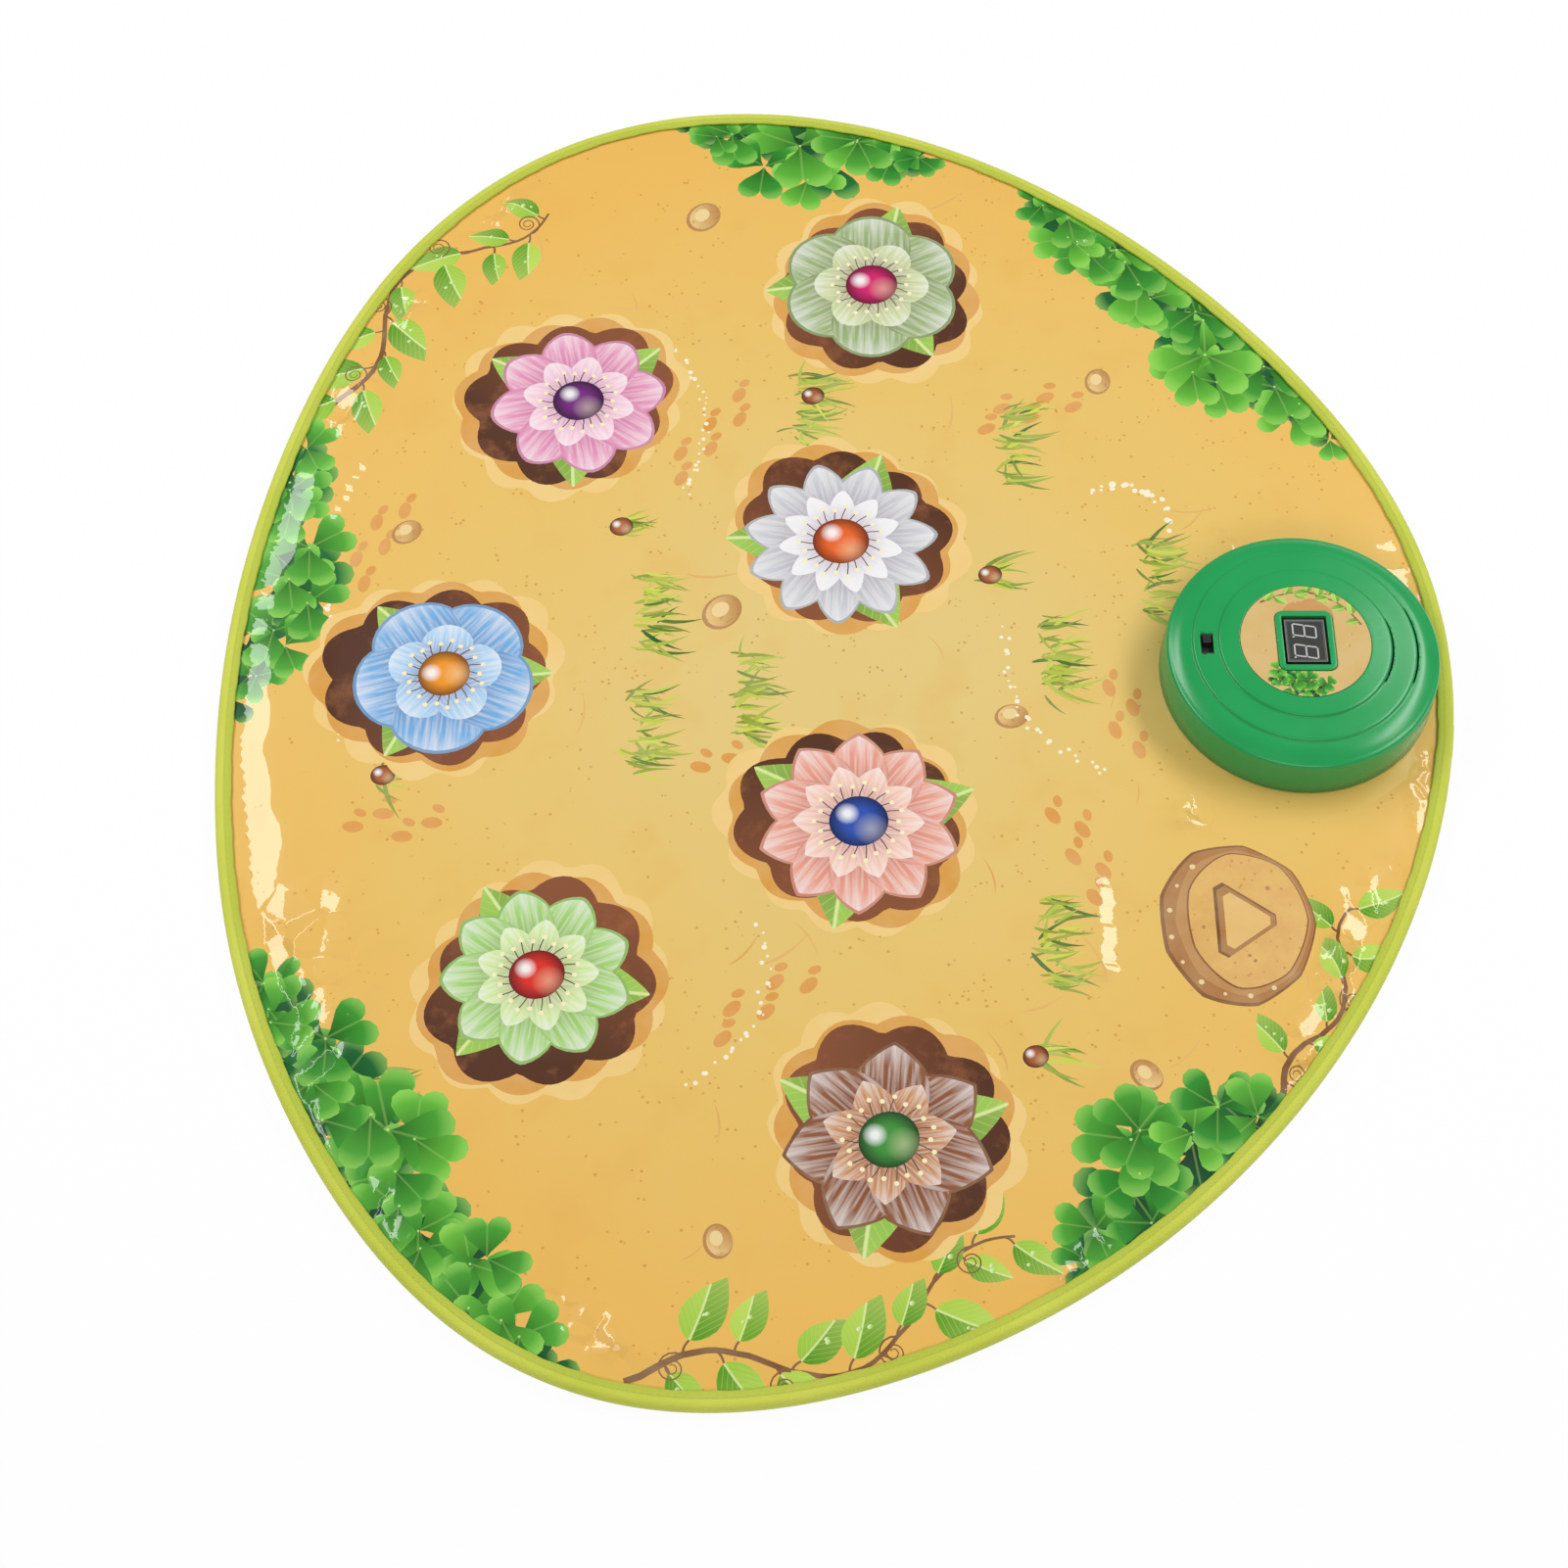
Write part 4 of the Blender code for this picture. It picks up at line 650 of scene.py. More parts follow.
def grass_tuft(middle, count, height):
    """Blades that fan out to both sides of a row of roots, from dark ones to bright ones."""
    spread = [dice.normal(0, 3.5, count), dice.uniform(-0.5, 0.5, count) * height]
    roots = np.array(middle) + np.column_stack(spread)
    turns = dice.normal(0.1, 0.62, count)
    share = np.linspace(0, 1, count) + dice.normal(0, 0.1, count)
    tints = np.clip(between((84, 122, 30), (206, 216, 76), share), 0, 1)
    sizes = dice.uniform(12, 26, count)
    for side in (-1, 1):
        chosen = np.sign(turns) == -side
        lay("plain", GRASS * (1, side), roots[chosen], turns[chosen], sizes[chosen], tints[chosen])


for place in GRASS_PLACES:
    grass_tuft(place, 46, 52)
for place in NUTS:
    grass_tuft(place, 12, 12)
tints = between((186, 110, 62), (170, 96, 54), np.linspace(0, 1, len(NUTS)))
lay("ball", disc(24, 0.92), NUTS, 0.4, 6.6, tints)

# %% Clover beds and twigs along the edge
STEM = shade(128, 80, 38)
# Each bed: where it starts and ends along the edge, and its number of clovers
BEDS = ((240, 470, 30), (560, 690, 15), (1060, 1215, 15), (1400, 1650, 30), (1940, 2060, 15))
# Dark clovers behind and bright ones on top: nearest and farthest, sizes, and share of the number
BED_LAYERS = ((True, (2, 36), (26, 33), 0.62), (False, (10, 52), (22, 33), 0.60))
TWIG_POINTS = 40


def along_edge(way, inset):
    """Points at a distance along the edge and a distance inside it, and the edge's direction there."""
    index = (way % EDGE_LENGTH / EDGE_LENGTH * EDGE_POINTS).astype(int) % EDGE_POINTS
    inner = EDGE_IN[index]
    return EDGE[index] + inner * inset[:, None], np.arctan2(-inner[:, 0], inner[:, 1])


def clovers(middles, turns, sizes, dark):
    """Three hearts round each middle, and a small pale eye."""
    low, high = ((14, 92, 48), (30, 128, 56)) if dark else ((52, 160, 48), (120, 210, 66))
    tints = between(low, high, dice.random(len(middles)))
    for lobe in range(3):
        lay("clover", CLOVER, middles, turns + lobe * 2 * np.pi / 3, sizes, tints)
    lay("plain", disc(8), middles, 0, sizes * 0.028, shade(176, 222, 116))


def twig(start, end, leaves, bow=14.0, inset=28.0, leaf_size=31.0):
    """A stem that wanders beside the edge, with leaves on both sides, drops and curled tendrils."""
    share = np.linspace(0, 1, TWIG_POINTS)
    wander = inset * (0.35 + 0.9 * share) + bow * np.sin(9 * share)
    path, heading = along_edge(np.linspace(start, end, TWIG_POINTS), wander)
    lay("plain", ribbon(path, 3.4), tint=STEM)
    spots = np.linspace(3, TWIG_POINTS - 2, leaves).astype(int)
    side = np.where(np.arange(leaves) % 2, 1, -1)
    lean = heading[spots] + side * dice.uniform(0.6, 1.25, leaves)
    sizes = leaf_size * dice.uniform(0.75, 1.15, leaves)
    reach = ways(lean) * sizes[:, None]
    stalk_end = path[spots] + reach * 0.22
    for spot, tip in zip(spots, stalk_end):
        lay("plain", ribbon(arc_path(path[spot], tip, 0.1, 6), 1.3, 0.2), tint=STEM)
    tints = between((140, 196, 52), (190, 222, 84), dice.random(leaves))
    for way_round in (-1, 1):
        chosen = side == way_round
        lay("leaf", LEAF * (1, -way_round), stalk_end[chosen], lean[chosen], sizes[chosen], tints[chosen])
    drops = stalk_end + reach * 0.45
    drops = np.vstack([drops + dice.normal(0, 2.2, drops.shape) for turn in range(2)])
    lay("drop", disc(9, 0.8), drops, 0.5, dice.uniform(0.8, 1.5, len(drops)), shade(236, 248, 200))
    for spot in spots[1::4]:
        lay("plain", TENDRIL, path[spot], heading[spot] + 1.0, 1, STEM)


twig(1030, 820, 15)
twig(1700, 1915, 15)
twig(2070, 2190, 9, inset=22, bow=7, leaf_size=25)
for start, end, count in BEDS:
    for dark, (nearest, farthest), size_span, share in BED_LAYERS:
        number = int(count * share)
        way = np.linspace(start, end, number) + dice.normal(0, 5, number)
        swell = np.sin(np.pi * np.clip((way - start + 12) / (end - start + 24), 0, 1))
        middles = along_edge(way, nearest + (farthest - nearest) * dice.random(number) * swell)[0]
        turns = dice.uniform(0, 2, number)
        clovers(middles, turns, dice.uniform(*size_span, number) * (0.6 + 0.4 * swell), dark)
print("inks so far:", len(mat_page["outline"]))

# %% Burrows and flowers
BURROW_RADIUS = 58.0
# Rims of a burrow from outside inwards: ink, bites, their depth, turn, size and colour
BURROW_RIMS = (
    ("plain", 13, 0.10, 0, 1.15, (246, 208, 128)),
    ("plain", 11, 0.09, 0.6, 1.07, (224, 162, 72)),
    ("earth", 9, 0.14, 0.3, 1, (128, 74, 44)),
)
# Each flower: petal colour, inner colour, ball colour, petals, width, widest place, end, size, lean
FLOWERS = {
    "target_2": ((234, 150, 190), (250, 206, 224), (120, 40, 130), 8, 0.34, 1.25, 0.55, 44, 0.2),
    "target_4": ((158, 182, 122), (206, 218, 160), (214, 30, 110), 6, 0.46, 1.30, 0.50, 46, 0.5),
    "target_6": ((204, 206, 212), (244, 244, 246), (240, 104, 34), 11, 0.25, 1.10, 0.60, 47, 0.1),
    "target_1": ((120, 178, 230), (176, 214, 246), (246, 154, 30), 5, 0.52, 1.35, 0.50, 43, 0.9),
    "target_3": ((166, 216, 116), (212, 238, 160), (226, 44, 32), 9, 0.30, 1.45, 0.65, 43, 0.4),
    "target_5": ((150, 92, 58), (206, 146, 96), (66, 150, 60), 7, 0.38, 1.05, 0.85, 46, 0.6),
    "target_7": ((238, 160, 138), (250, 204, 184), (44, 84, 180), 10, 0.30, 1.30, 0.80, 47, 0.3),
}
FLOWER_SCALE, FLOWER_SHIFT = 1.1, 5
STAMENS = 22


def flower(middle, petal, inner, ball, petals, width, widest, end, size, lean, number):
    """Leaves behind, two rings of petals, a ring of stamens, and a glossy ball in the middle."""
    middle = np.array(middle) + FLOWER_SHIFT * ways(2.1 * number)[0]
    size = FLOWER_SCALE * size
    spread = lean + np.array([0.4, 2.3, 4.4]) + 0.3 * number
    lay("leaf", LEAF, middle, spread, size * 1.22, shade(118, 186, 60))
    turns = lean + full_turn(petals)
    outer = blade(width, widest, end, count=15)
    rim_tint = tuple(0.72 * part for part in shade(*petal)[:3])
    lay("plain", outer * 1.025, middle, turns, size * 1.015, rim_tint)
    lay("petal", outer, middle, turns, size, shade(*petal))
    upper = blade(width * 0.86, widest, end)
    lay("petal", upper, middle, turns + np.pi / petals, size * 0.66, shade(*inner))
    reach = size * (0.40 + 0.05 * (np.arange(STAMENS) % 2))
    tips = middle + ways(full_turn(STAMENS)) * reach[:, None]
    for tip in tips:
        lay("plain", ribbon(arc_path(middle, tip, 0.08, 5), 0.8, 0.3), tint=shade(70, 40, 34))
    lay("plain", disc(8), tips, 0, 1.3, shade(255, 244, 196))
    lay("ball", disc(32, 0.95), middle, lean, size * 0.30, shade(*ball))


for number, (zone, look) in enumerate(FLOWERS.items()):
    middle, lean = ZONES[zone][:2], 1.7 * number
    for kind, bites, depth, phase, size, tint in BURROW_RIMS:
        lay(kind, torn(bites, depth, lean + phase), middle, lean, BURROW_RADIUS * size, shade(*tint))
    flower(middle, *look, number)

# %% Select target
# A slice of branch, from its bark inwards: ink, half sizes, sides, shift and colour
SLICES = (
    ("plain", 40.0, 46.5, 9, (0, 0), (140, 88, 42)),
    ("plain", 38.6, 45.0, 9, (0.7, 0.5), (178, 122, 68)),
    ("plain", 34.5, 41.5, 8, (3.2, 1.4), (196, 142, 84)),
    ("plain", 31.2, 39.2, 7, (5.2, 2.4), (140, 88, 42)),
    ("stone", 30.4, 38.4, 7, (5.4, 2.6), (235, 190, 112)),
)
ARROW = np.array([(-1.0, -0.86), (-0.7, -1.0), (0.86, -0.14), (0.86, 0.14), (-0.7, 1.0), (-1.0, 0.86)])
# A plain carved arrow head, from its shadow inwards: size, shift and colour
CARVING = ((19.5, 0, (124, 76, 38)), (18.2, 0.5, (176, 122, 66)), (14.6, 0.5, (235, 190, 112)))

middle = np.array(ZONES["select"][:2]) + (-0.6, 1.2)
for kind, half_x, half_y, sides, shift, tint in SLICES:
    lay(kind, slice_outline(half_x, half_y, sides), middle + shift, 0, 1, shade(*tint))
turn = np.linspace(2.2, 5.2, 9)
pores = middle + ways(turn) * (34.0, 40.5)
lay("plain", disc(10), pores, 0, 0.8 + 0.7 * np.abs(np.sin(5 * turn)), shade(240, 214, 160))
pores = middle + (5, 2) + dice.normal(0, 14, (14, 2))
lay("plain", disc(9), pores, 0, dice.uniform(0.5, 1.4, len(pores)), shade(186, 132, 74))
for size, shift, tint in CARVING:
    lay("plain", ARROW * (0.85, 1.1), middle + (6 + shift, 2 - shift), 0, size, shade(*tint))
print("inks in the print:", len(mat_page["outline"]))

# %% [markdown]
# ## From inks to a mesh
#
# The print has to follow the curled sheet, and its edges have to stay sharp. So the sheet is cut along
# every ink's outline: all outlines and a field of points go into one Delaunay triangulation that keeps
# the outlines' sides. Each triangle then belongs to the last ink that winds round its middle.

# %% Filling an edge with triangles
# About so many pairs of a point and a side are compared at once
WINDING_BLOCK = 4000000


def covers(outline, points):
    """Which points an outline winds round: its sides to the right of a point are counted, 1 for each
    that goes up past the point and -1 for each that comes down."""
    (x1, y1), (x2, y2) = outline.T, np.roll(outline, -1, 0).T
    x, y = points[:, :1], points[:, 1:]
    turn = (x2 - x1) * (y - y1) - (x - x1) * (y2 - y1)
    up = (y1 <= y) & (y2 > y) & (turn > 0)
    down = (y1 > y) & (y2 <= y) & (turn < 0)
    return up.sum(1) != down.sum(1)


def tile(edge, holes, field, outlines=()):
    """Triangles inside the edge and outside the holes, and the number of each one's top ink, or -1."""
    rings = [edge, *holes, *outlines]
    counts = np.array([len(ring) for ring in rings])
    starts = np.repeat(np.cumsum(counts) - counts, counts)
    number = np.arange(counts.sum())
    following = starts + (number - starts + 1) % np.repeat(counts, counts)
    everything = [Vector(point) for point in np.vstack([*rings, field]).tolist()]
    sides = np.column_stack([number, following]).tolist()
    made = delaunay_2d_cdt(everything, sides, [], 0, 1e-4, False)
    points, corners = np.array([tuple(point) for point in made[0]]), np.array(made[2])
    middle = points[corners].mean(1)
    order = np.argsort(middle[:, 0])
    ranked = middle[order, 0]
    state = np.full(len(corners), -2)

    def mark(ring, value, only=None):
        low, high = ring.min(0), ring.max(0)
        near = order[np.searchsorted(ranked, low[0]) : np.searchsorted(ranked, high[0])]
        near = near[(middle[near, 1] > low[1]) & (middle[near, 1] < high[1])]
        near = near[state[near] != -2] if only else near
        for part in np.array_split(near, 1 + len(near) * len(ring) // WINDING_BLOCK):
            state[part[covers(ring, middle[part])]] = value

    mark(edge, -1)
    for hole in holes:
        mark(hole, -2)
    for ink, outline in enumerate(outlines):
        mark(outline, ink, only=True)
    corners, top = corners[state > -2], state[state > -2]
    a, b, c = (points[corners[:, index]] for index in range(3))
    ab, ac = b - a, c - a
    area = (ab[:, 0] * ac[:, 1] - ab[:, 1] * ac[:, 0]) / 2
    corners[area < 0] = corners[area < 0][:, ::-1]
    used, renumbered = np.unique(corners, return_inverse=True)
    return points[used], renumbered.reshape(corners.shape), top, float(np.abs(area).sum())


def lattice(spacing, low, high):
    """Rows of points, every other row moved by half a step."""
    across = np.arange(low[0], high[0], spacing)
    up = np.arange(low[1], high[1], spacing * math.sqrt(3) / 2)
    grid_x, grid_y = np.meshgrid(across, up)
    grid_x = grid_x + np.where(np.arange(len(up)) % 2, spacing / 2, 0)[:, None]
    return np.column_stack([grid_x.ravel(), grid_y.ravel()])


def creased(points):
    """Which points lie in a crumpled place or on the steep side of a fold."""
    near = np.zeros(len(points))
    for x, y, long, short, lean, steepness, facet in CREASES:
        u, v = framed(points, x, y, lean)
        near = np.maximum(near, bell(u / long, v / short))
    for x, y, reach, wide, slope, facing in FOLDS:
        u, v = framed(points, x, y, facing)
        near = np.maximum(near, (np.abs(u - wide / 2) < wide) & (np.abs(v) < reach))
    return near > 0.12


def field_points(steps=(5.4, 2.8, 1.35), border=34, margin=3):
    """Coarse points over the whole sheet, finer ones near the edge, finest ones in the creases."""
    coarse, fine, finest = (lattice(step, EDGE.min(0), EDGE.max(0)) for step in steps)
    inset = from_edge(fine)[0]
    coarse = coarse[from_edge(coarse)[0] > border]
    fine = fine[(inset > margin) & (inset <= border)]
    finest = finest[creased(finest)]
    finest = finest[from_edge(finest)[0] > margin]
    return np.vstack([coarse[~creased(coarse)], fine[~creased(fine)], finest])


# %% Meshes from arrays
def new_piece(name, points, corners):
    """A smooth-shaded object at the origin, from points in millimetres and faces of one size."""
    mesh = bpy.data.meshes.new(name)
    mesh.vertices.add(len(points))
    mesh.vertices.foreach_set("co", (np.asarray(points, float) * MM).ravel())
    mesh.loops.add(corners.size)
    mesh.loops.foreach_set("vertex_index", corners.ravel().astype(np.int32))
    mesh.polygons.add(len(corners))
    mesh.polygons.foreach_set("loop_start", np.arange(0, corners.size, corners.shape[1], dtype=np.int32))
    mesh.update(calc_edges=True)
    mesh.validate()
    mesh.shade_smooth()
    return linked(name, mesh)


def print_piece(name, page, edge, holes, field, finishes, level=None):
    """A printed piece: triangles at a level, or at the sheet's height where none is given, with each
    ink's own frame as the UV map, its colour as an attribute, and its kind as the material."""
    low, high = edge.min(0) - 1, edge.max(0) + 1
    near = [
        number
        for number, outline in enumerate(page["outline"])
        if (outline.max(0) > low).all() and (outline.min(0) < high).all()
    ]
    flat, corners, top, area = tile(edge, holes, field, [page["outline"][number] for number in near])
    ink = np.array(near + [-1])[top]
    height = sheet_height(flat) if level is None else np.full(len(flat), level)
    piece = new_piece(name, np.column_stack([flat, height]), corners)
    frames = np.vstack([page["frame"], (0, 0, 0, 100)])
    x, y, turn, size = np.repeat(frames[ink], 3, 0).T
    local = np.column_stack(framed(flat[corners.ravel()], x, y, turn)) / size[:, None]
    piece.data.uv_layers.new(name="ink").uv.foreach_set("vector", local.ravel())
    tints = np.vstack([page["tint"], (1, 1, 1)])
    colour = np.column_stack([np.repeat(tints[ink], 3, 0), np.ones(len(ink) * 3)])
    tint = piece.data.color_attributes.new("ink_tint", "FLOAT_COLOR", "CORNER")
    tint.data.foreach_set("color", colour.ravel())
    present, slots = np.unique(np.append(page["kind"], 0)[ink], return_inverse=True)
    for kind in present:
        piece.data.materials.append(finishes[INK_KINDS[kind]])
    piece.data.polygons.foreach_set("material_index", slots.astype(np.int32))
    if level is None:
        piece.data.normals_split_custom_set_from_vertices(sheet_normals(flat).tolist())
    print(name, len(flat), "points", len(corners), "triangles", round(area / 1e6, 4), "m2")
    return piece, area / 1e6


# %% [markdown]
# ## Finishes of the print
#
# All inks lie under one clear vinyl film, so they share its gloss: a smooth coat over a softer base,
# and a height with faint waves. Each kind of ink then paints its own detail from its frame.

# %% Vinyl film group
def film_body(where):
    """Faint ripples and orange peel for the height, smudges for the roughness."""
    height = where.noise(420.0, 1.0).math("MULTIPLY_ADD", 0.045, where.noise(38.0, 2.0))
    return {"Roughness": where.noise(16.0, 3.0).span(0.3, 0.7, 0.34, 0.46), "Height": height}


FILM = new_group("vinyl_film", film_body)


def printed(name, paint, coat_roughness=0.022):
    """A printed finish: paint is a function that makes the ink's colour."""
    look, where = finish(name, coat=1.0, coat_roughness=coat_roughness, specular=0.25)
    film = where.through(FILM)
    tint = put(where.tree, "VertexColor", layer_name="ink_tint")
    frame_place = put(where.tree, "UVMap", uv_map="ink")
    colour = paint(where, tint, frame_place.part(0), frame_place.part(1))
    return painted(look, colour, film["Height"], 0.25, 0.0003, film["Roughness"])


def times(first, second):
    """One colour multiplied by another."""
    return mixed(1.0, first, second, "MULTIPLY")


# %% Ink kinds
def sand_ink(where, tint, u, v):
    """Pale in the middle of the mat and deeper at its edge, mottled, with fine grains."""
    distance = put(where.tree, "VectorMath", {0: where}, "Value", operation="LENGTH")
    share = where.noise(7.0, 4.0).math("MULTIPLY_ADD", 0.5, distance.span(0.04, 0.36, -0.2, 0.72))
    base = share.ramp((0.1, shade(234, 206, 128)), (0.55, shade(238, 199, 108)), (1.0, shade(242, 190, 92)))
    base = mixed(where.noise(26.0, 3.0).span(0.55, 0.75) * 0.25, base, shade(232, 176, 80))
    dot = where.texture("Voronoi", "Distance", Scale=240.0).math("LESS_THAN", 0.20)
    dot = dot * where.noise(95.0, 1.0).span(0.58, 0.62)
    return mixed(dot * 0.65, base, shade(206, 140, 66))


def earth_ink(where, tint, u, v):
    """Brown soil, darker towards one side, with paler streaks."""
    lit = times(tint, (u + v).span(-1.0, 1.2, 0.45, 1.25).grey())
    return mixed(where.noise(45.0, 4.0, 0.7).span(0.52, 0.68, 0, 0.45), lit, shade(168, 104, 62))


def leaf_ink(where, tint, u, v):
    """Two halves of different green, a pale midrib on the bent spine, and fine side veins."""
    off_spine = v - u * u * 0.10
    across = off_spine.math("ABSOLUTE")
    vein = (u * 9.0 - across * 11.0).math("PINGPONG", 0.5).span(0.0, 0.10, 0.5, 0.0)
    body = mixed(off_spine.span(-0.02, 0.02), times(tint, shade(150, 196, 120)), tint)
    body = mixed(u.span(0.1, 1.0, 0.0, 0.40), body, shade(226, 240, 130))
    body = mixed(vein, body, shade(206, 232, 120))
    return mixed(across.span(0.008, 0.022, 0.85, 0.0), body, shade(232, 246, 170))


def clover_ink(where, tint, u, v):
    """Dark where the lobes meet, bright towards the rim, with a faint fold along the middle."""
    rim = far_from(u, v).span(0.1, 1.0)
    body = mixed(rim, times(tint, shade(120, 160, 120)), tint)
    body = mixed(rim.span(0.72, 1.0, 0.0, 0.45), body, shade(178, 228, 110))
    return mixed(v.math("ABSOLUTE").span(0.008, 0.03, 0.26, 0.0), body, shade(176, 222, 120))


def petal_ink(where, tint, u, v):
    """Deeper at the base, streaks that run out along the petal, and a paler tip."""
    streak = put(where.tree, "CombineXYZ", {0: u * 1.6, 1: v * 22.0}).noise(1.0)
    body = mixed(u.span(0.15, 0.75), times(tint, shade(196, 170, 190)), tint)
    body = mixed(streak.span(0.42, 0.66, 0.0, 0.42), body, shade(255, 250, 244))
    return mixed(u.span(0.78, 1.0, 0.0, 0.40), body, shade(255, 255, 255))


def ball_ink(where, tint, u, v):
    """A painted ball: dark rim, glowing lower right, and a bright spot at the upper left."""
    def spot(middle_u, middle_v, inner, outer, strength):
        return far_from(u - middle_u, v - middle_v).span(inner, outer, strength, 0.0)

    body = mixed(spot(0.0, 0.0, 0.45, 1.0, 1.0), times(tint, shade(120, 110, 120)), tint)
    glow = mixed(0.55, tint, shade(255, 246, 200))
    body = mixed(spot(0.30, -0.40, 0.05, 0.62, 0.55), body, glow)
    return mixed(spot(-0.28, 0.38, 0.10, 0.42, 0.90), body, shade(255, 255, 255))


def plain_ink(where, tint, u, v):
    """One colour, a little uneven as ink on vinyl is."""
    return mixed(where.noise(60.0, 3.0).span(0.3, 0.8, 0.0, 0.16), tint, shade(255, 240, 200))


def pebble_ink(where, tint, u, v):
    """Lit from the upper left, with a few specks."""
    body = mixed((v - u).span(-1.2, 1.2), shade(196, 142, 80), tint)
    return mixed(where.noise(300.0).span(0.58, 0.66, 0.0, 0.4), body, shade(160, 110, 60))


def drop_ink(where, tint, u, v):
    """A bead of water: clear below, with a white glint above."""
    return mixed((v - u).span(-0.8, 0.8), shade(170, 214, 90), tint)


def stone_ink(where, tint, u, v):
    """A tan cut face, mottled, with darker pores."""
    body = mixed(where.noise(55.0, 5.0, 0.65).span(0.35, 0.7, 0.0, 0.6), tint, shade(214, 160, 88))
    pore = where.texture("Voronoi", "Distance", Scale=210.0)
    return mixed(pore.span(0.10, 0.20, 0.5, 0.0), body, shade(176, 120, 62))


PAINTS = (
    sand_ink, earth_ink, leaf_ink, clover_ink, petal_ink,
    ball_ink, plain_ink, pebble_ink, drop_ink, stone_ink,
)
PRINT_FINISHES = {kind: printed(f"print_{kind}", paint) for kind, paint in zip(INK_KINDS, PAINTS)}
print("print finishes:", len(PRINT_FINISHES))

# %% [markdown]
# ## The printed sheet and its targets
#
# The sheet reaches under the tape, and has a hole for the unit's neck. A target isn't a separate disc
# on the real mat: the sheet just gives way there. Here each target is its own round of the same sheet,
# cut on the same circle, so that its rim meets the sheet's hole.

# %% Printed sheet
SHEET_INSET = 1.9
NECK_RADIUS = 66.5
FIELD_STEP = 3.0


def circle(x, y, radius, count=180):
    return disc(count) * radius + (x, y)


def within(points, middle, radius):
    """The points that lie less than the radius from the middle."""
    return points[np.hypot(*(points - middle).T) < radius]


zone_rims = {name: circle(*zone) for name, zone in ZONES.items()}
sheet_edge, neck_hole = EDGE + EDGE_IN * SHEET_INSET, circle(UNIT_X, 0, NECK_RADIUS, 120)
sheet_holes = [neck_hole, *zone_rims.values()]
top_sheet, sheet_area = print_piece(
    "printed_top_sheet", mat_page, sheet_edge, sheet_holes, field_points(), PRINT_FINISHES
)
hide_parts("top_sheet")
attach(top_sheet, "mat")

# %% Targets
for name, (x, y, radius) in ZONES.items():
    field = lattice(FIELD_STEP, (x - radius, y - radius), (x + radius, y + radius))
    field = within(field, (x, y), radius - 1.5)
    piece, area = print_piece(f"{name}_round", mat_page, zone_rims[name], [], field, PRINT_FINISHES)
    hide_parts(f"{name}_face")
    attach(piece, "mat")
    "select_print" if name == "select" else "printed_sheet"
    size = 2 * radius * MM
    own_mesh(piece)

# %% [markdown]
# ## Binding tape
#
# A woven lime tape is folded round the edge and stitched through. On the real mat it is one strip, so
# here it is one section, a C with round corners, carried along the edge. Its inner lip is drawn in at
# each stitch. A second piece holds the stitches, and near the unit the tape's end overlaps its start.

# %% Binding
TAPE_WIDTH, TAPE_HEIGHT, TAPE_THICK, TAPE_ROUND = 9.0, 8.5, 1.4, 3.4
TAPE_UNDER = TAPE_HEIGHT - TAPE_THICK
STITCH_PITCH, STITCH_INSET, STITCH_LENGTH = 3.9, 5.6, 2.9
TAPE_POINTS = 2340
WEAVE_UNIT = 0.1


def tape_section():
    """Inset and height round the C: under, out over two quarter rounds, on top, and back inside."""
    quarter = np.linspace(0, np.pi / 2, 6)
    near, far = TAPE_ROUND * (1 - np.sin(quarter)), TAPE_ROUND * (1 - np.cos(quarter))
    top = [(5.0, TAPE_HEIGHT), (STITCH_INSET, TAPE_HEIGHT), (6.6, TAPE_HEIGHT), (8.4, TAPE_HEIGHT - 0.05)]
    lip = [(TAPE_WIDTH, TAPE_HEIGHT - 0.5), (8.9, TAPE_UNDER)]
    inner = [(2.4, TAPE_UNDER), (TAPE_THICK, 5.6), (TAPE_THICK, 2.9), (2.4, TAPE_THICK)]
    under = [(8.8, TAPE_THICK), (TAPE_WIDTH, 0.5), (8.6, 0.0), (6.0, 0.0)]
    rounds = [np.column_stack([near, far]), np.column_stack([far, TAPE_HEIGHT - near])]
    return np.vstack([*rounds, top, lip, inner, under])


def grid_faces(rows, columns, wrap_rows, wrap_columns):
    """Quads of a grid, row by row, closed on itself where asked."""
    row = np.arange(rows if wrap_rows else rows - 1)
    column = np.arange(columns if wrap_columns else columns - 1)
    r, c = (part.ravel() for part in np.meshgrid(row, column, indexing="ij"))
    r2, c2 = (r + 1) % rows, (c + 1) % columns
    return np.column_stack([r * columns + c, r2 * columns + c, r2 * columns + c2, r * columns + c2])


def as_triangles(quads):
    return np.vstack([quads[:, [0, 1, 2]], quads[:, [0, 2, 3]]])


TAPE = tape_section()
TAPE_WAY = running(TAPE)


